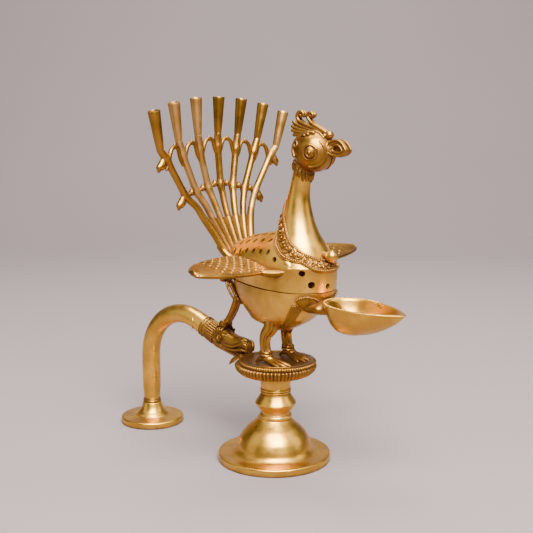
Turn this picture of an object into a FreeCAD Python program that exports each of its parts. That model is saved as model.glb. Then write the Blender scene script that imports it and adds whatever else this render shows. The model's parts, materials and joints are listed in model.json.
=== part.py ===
import FreeCAD, Part
import math
import os

import Sketcher

# Brass peacock burner: a pedestal and a curved handle carry a hollow bird whose
# back is a pierced lid, hinged at the tail. An oil spoon stands out of its breast
# and seven incense sockets crown its tail. Sub-parts are drawn about the
# pedestal's axis, with X towards the beak, and then moved to the part's frame.

Vector = FreeCAD.Vector
doc = FreeCAD.newDocument("PeacockBurner")

# ---------------------------------------------------------------- driving sizes

SIZES = [
    ("pedestal_x", 19.65),
    # pedestal
    ("base_r", 35.0),
    ("base_rim", 4.5),
    ("base_dome_r", 24.5),
    ("base_top_r", 10.5),
    ("base_top_z", 27.0),
    ("base_wall", 3.0),
    ("stem_ring_r", 10.0),
    ("stem_waist_r", 8.6),
    ("stem_bead_r", 12.8),
    ("stem_bead_z", 36.2),
    ("stem_neck_r", 9.0),
    ("stem_top_z", 53.5),
    ("stud_r", 3.0),
    ("stud_gap", 0.2),
    ("disc_x", 2.5),
    ("disc_r", 24.0),
    ("disc_top_z", 63.7),
    ("disc_thick", 2.2),
    ("skirt_r", 25.0),
    # handle
    ("foot_x", -112.0),
    ("foot_r", 21.25),
    ("foot_plate", 4.2),
    ("foot_top_z", 14.0),
    ("arm_r", 6.25),
    ("arm_bend_r", 33.0),
    ("arm_bend_z", 48.0),
    ("arm_slope", 21.0),
    ("arm_end_x", -53.0),
    ("collar_r", 6.2),
    ("head_half", 5.6),
    ("strut_foot_x", -42.5),
    ("strut_foot_z", 77.6),
    ("strut_top_x", -31.0),
    ("strut_top_z", 96.5),
    ("strut_width", 4.6),
    # bird
    ("seam_z", 110.4),
    ("seam_gap", 0.3),
    ("bowl_bottom_z", 83.8),
    ("wall", 2.0),
    ("crease_z", 124.7),
    ("back_z", 144.4),
    ("breast_x", 22.5),
    ("breast_r", 20.0),
    ("rear_x", -34.0),
    ("neck_top_x", 22.0),
    ("knob_x", 43.2),
    ("knob_z", 131.2),
    ("knob_r", 3.3),
    ("head_x", 30.3),
    ("head_z", 191.1),
    ("head_r", 12.2),
    ("beak_tip_x", 56.2),
    ("beak_z", 192.6),
    ("wing_z", 125.0),
    ("wing_pitch", 16.0),
    ("wing_thick", 2.0),
    ("wing_chord", 30.0),
    ("wing_span", 73.5),
    # spoon
    ("spoon_root_x", 41.0),
    ("spoon_tip_x", 93.85),
    ("spoon_rim_z", 105.6),
    ("spoon_depth", 16.6),
    ("spoon_half", 16.8),
    ("spoon_droop", 2.6),
    ("spoon_wall", 1.6),
    # tail: places of a rod's centre, with y for each step out from the middle
    ("tail_foot_x", -28.5),
    ("tail_foot_y", 3.9),
    ("tail_foot_z", 127.0),
    ("tail_hip_x", -33.8),
    ("tail_hip_y", 5.4),
    ("tail_hip_z", 139.0),
    ("tail_root_x", -38.2),
    ("tail_root_y", 7.1),
    ("tail_root_z", 149.0),
    ("tail_low_x", -40.7),
    ("tail_low_y", 8.4),
    ("tail_low_z", 156.0),
    ("tail_lower_node_x", -44.4),
    ("tail_lower_node_y", 11.1),
    ("tail_lower_node_z", 169.0),
    ("tail_upper_node_x", -46.6),
    ("tail_upper_node_y", 16.3),
    ("tail_upper_node_z", 192.2),
    ("tail_socket_x", -46.4),
    ("tail_socket_y", 17.9),
    ("tail_socket_z", 200.5),
    ("tail_top_x", -45.4),
    ("tail_top_y", 20.6),
    ("tail_top_z", 223.0),
    ("rod_r", 2.0),
    ("socket_top_r", 3.75),
    ("socket_bore_r", 1.6),
    ("socket_bore_depth", 12.0),
    # hinge
    ("hinge_x", -39.5),
    ("hinge_z", 109.6),
    ("knuckle_r", 2.2),
    ("pin_r", 0.9),
    ("pin_gap", 0.06),
]

sheet = doc.addObject("Spreadsheet::Sheet", "Size")
for row, (alias, value) in enumerate(SIZES, start=1):
    sheet.set(f"A{row}", alias)
    sheet.set(f"B{row}", str(value))
    sheet.setAlias(f"B{row}", alias)
doc.recompute()

sub_parts = []
ROD_COUNT = 7


def size(alias):
    return float(sheet.get(alias))


def number(expression):
    return float(sheet.evalExpression(expression))


def finish(item, label, x=None, z=None):
    """Names a sub-part and moves it from the pedestal's axis to the part's frame."""
    item.Label = label
    shift = "Size.pedestal_x"
    if x:
        shift = shift + " + " + x
    item.setExpression("Placement.Base.x", shift)
    if z:
        item.setExpression("Placement.Base.z", z)
    sub_parts.append(item)
    return item


def shaped(label, shape):
    """A sub-part whose shape comes from Part's own functions."""
    item = doc.addObject("Part::Feature", label)
    item.Shape = shape
    item.Placement = FreeCAD.Placement()
    return finish(item, label)


# -------------------------------------------------------------- sketching tools

def origin_plane(body, role):
    for feature in body.Origin.OriginFeatures:
        if feature.Role == role:
            return feature
    raise ValueError(role)


def new_sketch(body, name, role, lift=None):
    sketch = body.newObject("Sketcher::SketchObject", name)
    sketch.AttachmentSupport = (origin_plane(body, role), [""])
    sketch.MapMode = "FlatFace"
    if lift:
        sketch.setExpression("AttachmentOffset.Base.z", lift)
    return sketch


def pin_point(sketch, edge, end, across, up):
    """Holds one end of an edge at two expressions measured from the origin."""
    for kind, axis, text in (("DistanceX", -2, across), ("DistanceY", -1, up)):
        if text == "0":
            sketch.addConstraint(Sketcher.Constraint("PointOnObject", edge, end, axis))
            continue
        rule = Sketcher.Constraint(kind, -1, 1, edge, end, number(text))
        index = sketch.addConstraint(rule)
        sketch.setExpression(f"Constraints[{index}]", text)


def add_loop(sketch, corners, closed=True):
    """Lines and arcs through corners: (x, y) ends a line, (x, y, radius) an arc.

    A positive radius turns left on the way to its corner, a negative one right.
    """
    spots = [Vector(number(c[0]), number(c[1]), 0) for c in corners]
    first = 0 if closed else 1
    ends = []
    for index in range(first, len(corners)):
        begin = spots[index - 1]
        finish_at = spots[index]
        if len(corners[index]) == 2:
            edge = sketch.addGeometry(Part.LineSegment(begin, finish_at), False)
            ends.append((edge, 1, 2))
            continue
        radius = number(corners[index][2])
        chord = finish_at - begin
        left = Vector(-chord.y, chord.x, 0).normalize()
        rise = math.sqrt(radius ** 2 - (chord.Length / 2) ** 2)
        centre = (begin + finish_at) / 2 + left * math.copysign(rise, radius)
        low, high = (begin, finish_at) if radius > 0 else (finish_at, begin)
        start = math.atan2(low.y - centre.y, low.x - centre.x)
        stop = math.atan2(high.y - centre.y, high.x - centre.x)
        if stop < start:
            stop = stop + 2 * math.pi
        circle = Part.Circle(centre, Vector(0, 0, 1), abs(radius))
        edge = sketch.addGeometry(Part.ArcOfCircle(circle, start, stop), False)
        rule = Sketcher.Constraint("Radius", edge, abs(radius))
        rule_index = sketch.addConstraint(rule)
        sketch.setExpression(f"Constraints[{rule_index}]", f"abs({corners[index][2]})")
        ends.append((edge, 1, 2) if radius > 0 else (edge, 2, 1))
    for index, (edge, tail, tip) in enumerate(ends):
        corner = corners[first + index]
        pin_point(sketch, edge, tip, corner[0], corner[1])
        if index or closed:
            before = ends[index - 1]
            rule = Sketcher.Constraint("Coincident", before[0], before[2], edge, tail)
            sketch.addConstraint(rule)
        else:
            pin_point(sketch, edge, tail, corners[0][0], corners[0][1])


def turned(label, corners, x=None):
    """A body turned about its own vertical axis from (radius, height) corners."""
    body = doc.addObject("PartDesign::Body", label)
    sketch = new_sketch(body, label + "_profile", "XZ_Plane")
    add_loop(sketch, corners)
    turn = body.newObject("PartDesign::Revolution", label + "_turn")
    turn.Profile = sketch
    turn.ReferenceAxis = (sketch, ["V_Axis"])
    turn.Angle = 360
    return finish(body, label, x)


def side_plate(label, corners, width):
    """A plate drawn in the bird's plane of symmetry, half its width to each side."""
    body = doc.addObject("PartDesign::Body", label)
    sketch = new_sketch(body, label + "_outline", "XZ_Plane")
    add_loop(sketch, corners)
    pad = body.newObject("PartDesign::Pad", label + "_pad")
    pad.Profile = sketch
    pad.Midplane = True
    pad.setExpression("Length", width)
    return body


# ---------------------------------------------------------------------- pedestal

def make_pedestal():
    turned("pedestal_base", [
        ("Size.base_r", "0"),
        ("Size.base_r", "Size.base_rim"),
        ("Size.base_dome_r", "Size.base_rim + 1"),
        ("Size.base_top_r", "Size.base_top_z - 1.5", "Size.base_dome_r"),
        ("Size.base_top_r", "Size.base_top_z"),
        ("Size.stud_r + Size.stud_gap", "Size.base_top_z"),
        ("Size.stud_r + Size.stud_gap", "Size.base_top_z - 5"),
        ("Size.base_top_r - 3", "Size.base_top_z - 5"),
        ("Size.base_dome_r - Size.base_wall - 1", "Size.base_rim", "-Size.base_dome_r"),
        ("Size.base_r - Size.base_wall", "Size.base_rim - 2"),
        ("Size.base_r - Size.base_wall", "0"),
    ])
    turned("pedestal_stem", [
        ("Size.stud_r + Size.stud_gap", "Size.base_top_z"),
        ("Size.stem_ring_r - 0.6", "Size.base_top_z"),
        ("Size.stem_ring_r - 0.6", "Size.base_top_z + 2.4", "1.4"),
        ("Size.stem_waist_r", "Size.base_top_z + 2.8"),
        ("Size.stem_waist_r + 1.8", "Size.stem_bead_z - 3.8", "-12"),
        ("Size.stem_bead_r", "Size.stem_bead_z"),
        ("Size.stem_neck_r", "Size.stem_bead_z + 6"),
        ("Size.stem_neck_r + 0.6", "Size.stem_bead_z + 6.6"),
        ("Size.stem_neck_r + 0.6", "Size.stem_bead_z + 8.6"),
        ("Size.stem_neck_r", "Size.stem_bead_z + 9.2"),
        ("Size.stem_neck_r + 0.6", "Size.stem_top_z"),
        ("Size.stud_r + Size.stud_gap", "Size.stem_top_z"),
    ])
    turned("platform_skirt", [
        ("Size.stud_r + Size.stud_gap", "Size.stem_top_z"),
        ("Size.stem_neck_r + 3", "Size.stem_top_z"),
        ("Size.skirt_r - 0.4", "Size.stem_top_z + 5.6", "24"),
        ("Size.skirt_r - 0.4", "Size.disc_top_z - Size.disc_thick - 0.5", "1.6"),
        ("Size.disc_r - 1", "Size.disc_top_z - Size.disc_thick"),
        ("Size.stud_r + Size.stud_gap", "Size.disc_top_z - Size.disc_thick"),
    ])
    turned("platform_disc", [
        ("0", "Size.disc_top_z - Size.disc_thick"),
        ("Size.disc_r - 0.5", "Size.disc_top_z - Size.disc_thick"),
        ("Size.disc_r - 0.5", "Size.disc_top_z", "1.3"),
        ("Size.disc_r - 2", "Size.disc_top_z - 0.3"),
        ("0", "Size.disc_top_z - 0.3"),
    ], "Size.disc_x")
    stud = doc.addObject("Part::Cylinder", "tie_stud")
    stud.setExpression("Radius", "Size.stud_r")
    stud.setExpression("Height", "Size.disc_top_z - Size.disc_thick - 12")
    finish(stud, "tie_stud", z="12")
    washer = doc.addObject("Part::Cylinder", "washer_disc")
    washer.setExpression("Radius", "Size.base_top_r - 3.2")
    washer.Height = 1.2
    nut = doc.addObject("Part::Prism", "nut_hexagon")
    nut.Polygon = 6
    nut.setExpression("Circumradius", "Size.stud_r * 1.9")
    nut.Height = 5
    for blank, label, drop in ((washer, "stud_washer", 6.2), (nut, "stud_nut", 11.2)):
        bore = doc.addObject("Part::Cylinder", label + "_bore")
        bore.setExpression("Radius", "Size.stud_r")
        bore.setExpression("Height", blank.Name + ".Height")
        ring = doc.addObject("Part::Cut", label)
        ring.Base = blank
        ring.Tool = bore
        finish(ring, label, z=f"Size.base_top_z - {drop}")


# ------------------------------------------------------------------------ handle

def make_handle():
    turned("handle_foot", [
        ("0", "0"),
        ("Size.foot_r", "0"),
        ("Size.foot_r", "Size.foot_plate - 1"),
        ("Size.foot_r - 1", "Size.foot_plate", "1.01"),
        ("10.8", "Size.foot_plate + 0.8"),
        ("Size.collar_r", "Size.foot_top_z", "-22"),
        ("0", "Size.foot_top_z"),
    ], "Size.foot_x")
    turned("handle_collar", [
        ("0", "Size.foot_top_z"),
        ("Size.collar_r - 0.5", "Size.foot_top_z"),
        ("Size.collar_r - 0.5", "Size.foot_top_z + 2.4", "1.4"),
        ("0", "Size.foot_top_z + 2.4"),
    ], "Size.foot_x")

    body = doc.addObject("PartDesign::Body", "handle_arm")
    path = new_sketch(body, "handle_arm_path", "XZ_Plane")
    bend_x = "(Size.foot_x + Size.arm_bend_r)"
    bend_end_x = bend_x + " + Size.arm_bend_r * sin(Size.arm_slope)"
    bend_end_z = "Size.arm_bend_z + Size.arm_bend_r * cos(Size.arm_slope)"
    drop = "(Size.arm_end_x - (" + bend_end_x + ")) * tan(Size.arm_slope)"
    add_loop(path, [
        ("Size.foot_x", "Size.foot_top_z + 2.4"),
        ("Size.foot_x", "Size.arm_bend_z"),
        (bend_end_x, bend_end_z, "-Size.arm_bend_r"),
        ("Size.arm_end_x", bend_end_z + " - " + drop),
    ], closed=False)
    ring = new_sketch(body, "handle_arm_ring", "XY_Plane", "Size.foot_top_z + 2.4")
    centre = Vector(size("foot_x"), 0, 0)
    circle = Part.Circle(centre, Vector(0, 0, 1), size("arm_r"))
    edge = ring.addGeometry(circle, False)
    pin_point(ring, edge, 3, "Size.foot_x", "0")
    index = ring.addConstraint(Sketcher.Constraint("Radius", edge, size("arm_r")))
    ring.setExpression(f"Constraints[{index}]", "Size.arm_r")
    pipe = body.newObject("PartDesign::AdditivePipe", "handle_arm_pipe")
    pipe.Profile = ring
    pipe.Spine = path
    finish(body, "handle_arm")

    end_x = "Size.arm_end_x"
    slope = "tan(Size.arm_slope)"
    end_z = f"({bend_end_z} - {drop})"
    jaw_z = "Size.disc_top_z"
    head = side_plate("makara_head", [
        (f"{end_x} - Size.arm_r * sin(Size.arm_slope)",
         f"{end_z} - Size.arm_r * cos(Size.arm_slope)"),
        ("Size.disc_x - Size.skirt_r - 11.5", f"{jaw_z} - 5.8"),
        ("-Size.skirt_r - 0.5", f"{jaw_z} - 7"),
        ("-Size.skirt_r - 0.5", f"{jaw_z}"),
        ("Size.disc_x - Size.skirt_r + 7.5", f"{jaw_z}"),
        ("Size.disc_x - Size.skirt_r + 5", f"{jaw_z} + 5.5"),
        ("Size.disc_x - Size.skirt_r + 1", f"{jaw_z} + 8.6"),
        ("Size.disc_x - Size.skirt_r - 9", f"{jaw_z} + 9.6"),
        (f"{end_x} + Size.arm_r * sin(Size.arm_slope)",
         f"{end_z} + Size.arm_r * cos(Size.arm_slope)"),
    ], "Size.head_half * 2")
    finish(head, "makara_head")

    ruff = doc.addObject("Part::Torus", "handle_ferrule")
    ruff.setExpression("Radius1", "Size.arm_r + 0.6")
    ruff.Radius2 = 0.6
    axis = Vector(0, 1, 0)
    ruff.Placement.Rotation = FreeCAD.Rotation(axis, 90 + size("arm_slope"))
    finish(ruff, "handle_ferrule", f"{end_x} - 3", f"{end_z} + 3 * {slope}")

    strut = side_plate("tail_strut", [
        ("Size.strut_foot_x - 2.8", "Size.strut_foot_z"),
        ("Size.strut_foot_x + 2.8", "Size.strut_foot_z - 1.7"),
        ("Size.strut_top_x + 3.2", "Size.strut_top_z - 1"),
        ("Size.strut_top_x", "Size.strut_top_z"),
        ("Size.strut_top_x - 3.2", "Size.strut_top_z + 2"),
    ], "Size.strut_width")
    finish(strut, "tail_strut")
    rivet = doc.addObject("Part::Cylinder", "strut_rivet")
    rivet.Radius = 2.4
    rivet.setExpression("Height", "1.6")
    rivet.Placement.Rotation = FreeCAD.Rotation(Vector(1, 0, 0), 90)
    rivet.setExpression("Placement.Base.y", "-Size.strut_width / 2")
    finish(rivet, "strut_rivet", "Size.strut_foot_x + 1.6", "Size.strut_foot_z + 2.4")


# ------------------------------------------------------------------ hollow body

def egg_wire(z, rear, middle, front, half, taper, blunt):
    """A level outline: round breast in front, drawn in to a narrow tail behind."""
    count = 14
    right = []
    for step in range(count + 1):
        angle = math.pi * step / count
        along = math.cos(angle)
        wide = math.sin(angle)
        if along < 0:
            squeeze = wide ** (2 * taper) * (1 - blunt) + wide * blunt
            right.append(Vector(middle + (middle - rear) * along, -half * squeeze, z))
        else:
            right.append(Vector(middle + (front - middle) * along, -half * wide, z))
    left = [Vector(p.x, -p.y, z) for p in reversed(right[1:-1])]
    curve = Part.BSplineCurve()
    curve.interpolate(Points=right + left, PeriodicFlag=True)
    return Part.Wire(curve.toShape())


def egg_loft(levels, inset=0.0):
    """A solid through level outlines, or the hollow that lies a wall inside it."""
    wires = []
    for z, rear, middle, front, half, taper, blunt in levels:
        args = (rear + 1.6 * inset, middle, front - inset, half - inset, taper, blunt)
        wires.append(egg_wire(z, *args))
    return Part.makeLoft(wires, True, False)


def bowl_levels(top, bottom_lift):
    seam = size("seam_z")
    low = size("bowl_bottom_z") + bottom_lift
    deep = seam - low
    middle = size("breast_x")
    rear = size("rear_x")
    half = size("breast_r")
    return [
        (low, middle - 21, middle - 16, middle - 10, 5, 0.5, 1),
        (low + 0.12 * deep, rear + 19, middle - 13, middle - 3, 9.5, 0.5, 1),
        (low + 0.27 * deep, rear + 14, middle - 9, middle + 4, 13, 0.8, 0.5),
        (low + 0.5 * deep, rear + 8, middle - 6.5, middle + 10, 16.3, 1.2, 0.2),
        (low + 0.75 * deep, rear + 3, middle - 3, middle + 16, 19, 1.7, 0.14),
        (top, rear, middle, middle + half - 0.5, half, 2.0, 0.12),
    ]


def lid_levels(bottom):
    middle = size("breast_x")
    rear = size("rear_x")
    half = size("breast_r")
    crease = size("crease_z")
    front = middle + half
    return [
        (bottom, rear, middle, front - 0.5, half, 2.0, 0.12),
        (bottom + 0.5 * (crease - bottom), rear - 0.5, middle, front, half, 1.2, 0.3),
        (crease, rear - 1, middle, front, half, 0.6, 0.9),
    ]


def dome(inset):
    """The pierced back: the rear half of a flattened ball, let in to the crease."""
    middle = size("breast_x")
    sink = 1.2
    ledge = 0.6 + inset
    long_r = middle - size("rear_x") + 1 - ledge
    wide_r = size("breast_r") - ledge
    tall_r = size("back_z") - size("crease_z") + sink - inset
    ball = Part.makeSphere(1, Vector(0, 0, 0), Vector(0, 0, 1), 0, 90, 360)
    stretch = FreeCAD.Matrix()
    stretch.scale(long_r, wide_r, tall_r)
    ball = ball.transformGeometry(stretch)
    keep = Part.makeBox(long_r + 5, 2 * wide_r + 2, tall_r + 2)
    keep.translate(Vector(-long_r - 5, -wide_r - 1, -1))
    ball = ball.common(keep)
    ball.translate(Vector(middle, 0, size("crease_z") - sink))
    return ball


def neck_solid(inset):
    """The breast and neck: rings that rise from the crease and lean a little."""
    crease = size("crease_z")
    rings = []
    foot = size("breast_r") - 0.6
    for rise, lean, radius in (
        (0, 0, foot),
        (4, -1, foot - 2.2),
        (12.3, -2.2, foot - 4.6),
        (18.8, -3.2, foot - 7.6),
        (27.3, -4, foot - 10.2),
        (38.3, -3.9, foot - 12.5),
        (47.3, -2.4, foot - 13.5),
        (57.3, 0.2, foot - 13.6),
    ):
        centre = Vector(size("breast_x") + lean, 0, crease + rise)
        rings.append(Part.Wire(Part.makeCircle(radius - inset, centre)))
    return Part.makeLoft(rings, True, False)


# rows of slots: degrees above the side, first slot and step behind the breast, count
VENT_ROWS = ((29, 12.7, 6.4, 6), (54, 14.9, 6.5, 5), (76, 18, 6.6, 4))
# round holes in front: degrees from the beak, drop below the crease, radius
FRONT_VENTS = ((-54, 2.6, 1.8), (-38, 9.1, 1.8), (-6, 10.7, 1.4), (20, 9.1, 1.7), (54, 2.6, 1.8))


def vent(spot, direction, radius):
    return Part.makeCylinder(radius, 10, spot - direction * 5, direction)


def vents():
    """Slanted slots through the back and round holes through the front band."""
    tools = []
    middle = size("breast_x")
    crease = size("crease_z")
    long_r = middle - size("rear_x") + 1
    wide_r = size("breast_r")
    tall_r = size("back_z") - crease
    for elevation, first, step, count in VENT_ROWS:
        angle = math.radians(elevation)
        for side in (-1, 1):
            for index in range(count):
                x = -(first + step * index)
                spread = math.sqrt(1 - (x / long_r) ** 2)
                y = side * wide_r * spread * math.cos(angle)
                z = tall_r * spread * math.sin(angle)
                out = Vector(0, y / wide_r ** 2, z / tall_r ** 2).normalize()
                spot = Vector(middle + x, y, crease + z)
                slant = Vector(0.7, -out.z * side * 0.7, out.y * side * 0.7)
                low = vent(spot - slant, out, 0.85)
                tools.append(low.fuse(vent(spot + slant, out, 0.85)))
    for turn, drop, radius in FRONT_VENTS:
        out = Vector(math.cos(math.radians(turn)), math.sin(math.radians(turn)), 0)
        spot = Vector(middle, 0, crease - drop) + out * (wide_r - 1)
        tools.append(vent(spot, out, radius))
    return tools


def make_body():
    gap = size("seam_gap")
    wall = size("wall")
    seam = size("seam_z")
    bowl = egg_loft(bowl_levels(seam - gap / 2, 0))
    bowl = bowl.cut(egg_loft(bowl_levels(seam + 0.5, wall), wall))
    shaped("body_bowl", bowl)

    neck = neck_solid(0)
    ball = Part.makeSphere(size("head_r"), Vector(size("head_x"), 0, size("head_z")))
    hollow = neck_solid(wall)
    band = egg_loft(lid_levels(seam + gap / 2))
    band = band.cut(egg_loft(lid_levels(seam - 0.5), wall))
    back = dome(0).cut(dome(wall)).cut(neck)
    lid = band.fuse(back).cut(vents())
    shaped("body_lid", lid)
    shaped("neck", neck.cut(hollow).cut(ball))

    outside = egg_loft(lid_levels(seam)).fuse(dome(0)).fuse(neck)
    return outside, ball, neck


def make_necklace(neck, outside):
    cord = Part.makeTorus(size("breast_r") - 0.4, 1.5)
    cord.rotate(Vector(0, 0, 0), Vector(0, 1, 0), 18)
    cord.translate(Vector(size("breast_x") - 1.5, 0, size("crease_z") + 8))
    shaped("necklace", cord.cut(outside))
    root = Vector(size("knob_x"), 0, size("knob_z"))
    stalk = Part.makeCylinder(1.8, 7, root, Vector(-1, 0, 0.1))
    knob = Part.makeSphere(size("knob_r"), root).fuse(stalk)
    shaped("chest_knob", knob.cut(neck).cut(cord).cut(outside))


def make_head(ball, neck):
    head = doc.addObject("Part::Sphere", "head")
    head.setExpression("Radius", "Size.head_r")
    finish(head, "head", "Size.head_x", "Size.head_z")
    ruff = Part.makeCone(7.0, 9.0, 5, Vector(size("neck_top_x") - 0.6, 0, 174))
    shaped("neck_ruff", ruff.cut(neck).cut(ball))

    blank = side_plate("beak_blank", [
        ("Size.head_x + 7", "Size.beak_z + 6"),
        ("Size.head_x + 7", "Size.beak_z - 5"),
        ("Size.beak_tip_x - 3", "Size.beak_z - 4", "40"),
        ("Size.beak_tip_x", "Size.beak_z - 0.8", "3.4"),
        ("Size.beak_tip_x - 6", "Size.beak_z + 4.6", "14"),
        ("Size.head_x + 12", "Size.beak_z + 6.2", "12"),
    ], "7")
    core = doc.addObject("Part::Sphere", "head_core")
    core.setExpression("Radius", "Size.head_r")
    core.setExpression("Placement.Base.x", "Size.head_x")
    core.setExpression("Placement.Base.z", "Size.head_z")
    bead = doc.addObject("Part::Sphere", "bead_blank")
    bead.Radius = 2.7
    bead.setExpression("Placement.Base.x", "Size.head_x + 10.4")
    bead.setExpression("Placement.Base.z", "Size.head_z + 9.4")
    both = doc.addObject("Part::Fuse", "beak_bed")
    both.Base = core
    both.Tool = bead
    crest = side_plate("crest_blank", [
        ("Size.head_x + 9.4", "Size.head_z + 8"),
        ("Size.head_x + 8", "Size.head_z + 13.5", "4"),
        ("Size.head_x + 1.5", "Size.head_z + 16.2"),
        ("Size.head_x - 1", "Size.head_z + 23.4", "5"),
        ("Size.head_x - 7.4", "Size.head_z + 23.8", "6"),
        ("Size.head_x - 13.2", "Size.head_z + 23", "4"),
        ("Size.head_x - 17", "Size.head_z + 15.6", "9"),
        ("Size.head_x - 12.5", "Size.head_z + 3", "20"),
        ("Size.head_x - 8", "Size.head_z + 3"),
    ], "4.4")
    for label, base, tool in (
        ("beak", blank, both),
        ("cere_bead", bead, core),
        ("crest", crest, both),
    ):
        cut = doc.addObject("Part::Cut", label)
        cut.Base = base
        cut.Tool = tool
        finish(cut, label)


# ------------------------------------------------------------------ wings, spoon

def make_wings(outside):
    bed = doc.addObject("Part::Feature", "body_outside")
    bed.Shape = outside
    for label, side in (("wing_left", 1), ("wing_right", -1)):
        body = doc.addObject("PartDesign::Body", label + "_blank")
        sketch = new_sketch(body, label + "_outline", "XY_Plane")
        chord = "Size.wing_chord / 2"
        add_loop(sketch, [
            (f"-{chord}", f"{side} * 9"),
            (f"-{chord}", f"{side} * Size.wing_span * 0.58"),
            ("1", f"{side} * (Size.wing_span - 1)", f"{-side} * 42"),
            ("8", f"{side} * (Size.wing_span - 1.6)", f"{-side} * 4.2"),
            (chord, f"{side} * Size.wing_span * 0.68", f"{-side} * 40"),
            (f"{chord} - 1.5", f"{side} * 16"),
        ])
        pad = body.newObject("PartDesign::Pad", label + "_pad")
        pad.Profile = sketch
        pad.setExpression("Length", "Size.wing_thick")
        body.Placement.Rotation = FreeCAD.Rotation(Vector(0, 1, 0), size("wing_pitch"))
        body.setExpression("Placement.Base.z", "Size.wing_z - Size.wing_thick / 2")
        wing = doc.addObject("Part::Cut", label)
        wing.Base = body
        wing.Tool = bed
        finish(wing, label)


def spoon_solid(inset, top):
    rim = size("spoon_rim_z")
    depth = size("spoon_depth") - inset
    tip = size("spoon_tip_x")
    root = size("spoon_root_x")
    half = size("spoon_half")
    wires = []
    for fall, reach, middle, back, wide in (
        (1.0, 30, 18, 13, 0.3),
        (0.86, 22, 17, 8.5, 0.58),
        (0.62, 13.5, 17.5, 4.5, 0.78),
        (0.32, 5.5, 18.5, 2, 0.92),
        (0.0, 0, 19, 0, 1.0),
    ):
        z = top if fall == 0 else rim - depth * fall
        args = (tip - reach - 2.2 * inset, root + middle, root + back + inset)
        wires.append(egg_wire(z, *args, half * wide - inset, 0.9, 0.15))
    return Part.makeLoft(wires, True, False)


def make_spoon(bowl):
    rim = size("spoon_rim_z")
    spoon = spoon_solid(0, rim).cut(spoon_solid(size("spoon_wall"), rim + 0.5))
    root = Vector(size("spoon_root_x"), 0, rim)
    spoon.rotate(root, Vector(0, 1, 0), size("spoon_droop"))
    shaped("oil_spoon", spoon.cut(bowl))


def limb(points):
    """Tapered runs joined by balls, from (x, y, z, radius) points."""
    solid = None
    for (x0, y0, z0, r0), (x1, y1, z1, r1) in zip(points, points[1:]):
        start = Vector(x0, y0, z0)
        run = Vector(x1, y1, z1) - start
        if abs(r0 - r1) < 1e-6:
            piece = Part.makeCylinder(r0, run.Length, start, run)
        else:
            piece = Part.makeCone(r0, r1, run.Length, start, run)
        piece = piece.fuse(Part.makeSphere(r1, Vector(x1, y1, z1)))
        solid = piece if solid is None else solid.fuse(piece)
    return solid


def make_legs(bowl):
    """Two legs stand on the disc, each on three front toes and a back one."""
    floor = size("disc_top_z") - 0.3
    ground = Part.makeBox(80, 80, 20, Vector(-40, -40, floor - 20))
    for label, side in (("leg_left", 1), ("leg_right", -1)):
        ankle = (3.2, side * 10.4, floor + 4.6, 2.2)
        leg = limb([
            (4, side * 8.4, size("bowl_bottom_z") + 3, 3.6),
            (1, side * 11, floor + 13, 2.4),
            ankle,
        ])
        for turn, reach in ((-26, 12), (0, 14), (26, 12), (180, 8)):
            angle = math.radians(turn - side * 8)
            tip_x = ankle[0] + reach * math.cos(angle)
            tip_y = ankle[1] + reach * math.sin(angle)
            leg = leg.fuse(limb([ankle, (tip_x, tip_y, floor + 0.9, 1.1)]))
        shaped(label, leg.cut(ground).cut(bowl))


# -------------------------------------------------------------------------- tail

# how the fan curves from its middle rod out: level, drop in a step, drop in a step
# squared, curl forward in a step squared, pinch inwards in a step squared
TAIL_LEVELS = (
    ("root", 0, 0, 0, 0),
    ("low", 0, 0, 0.05, 0),
    ("lower_node", 2.1, 0, 0.12, 0.07),
    ("upper_node", 2.1, 0, 0.36, 0.07),
    ("socket", 0, 1.05, 0.38, 0.06),
    ("top", 0, 1.0, 0.42, 0.144),
)


def rod_points(step):
    """Centre points of a rod, counted in steps out from the middle one."""
    points = []
    for name, drop, bow, curl, pinch in TAIL_LEVELS:
        square = step * step
        x = size(f"tail_{name}_x") + curl * square
        y = step * (size(f"tail_{name}_y") - pinch * square)
        z = size(f"tail_{name}_z") - drop * abs(step) - bow * square
        points.append(Vector(x, y, z))
    return points


def rod_solid(step):
    points = rod_points(step)
    radii = [size("rod_r")] * 4 + [size("rod_r") + 0.3, size("socket_top_r")]
    rings = []
    for index, (spot, radius) in enumerate(zip(points, radii)):
        ahead = points[min(index + 1, len(points) - 1)]
        behind = points[max(index - 1, 0)]
        normal = Vector(0, 0, 1) if index == 0 else ahead - behind
        rings.append(Part.Wire(Part.makeCircle(radius, spot, normal)))
    return Part.makeLoft(rings[:-1], True, False).fuse(Part.makeLoft(rings[-2:], True))


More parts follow.
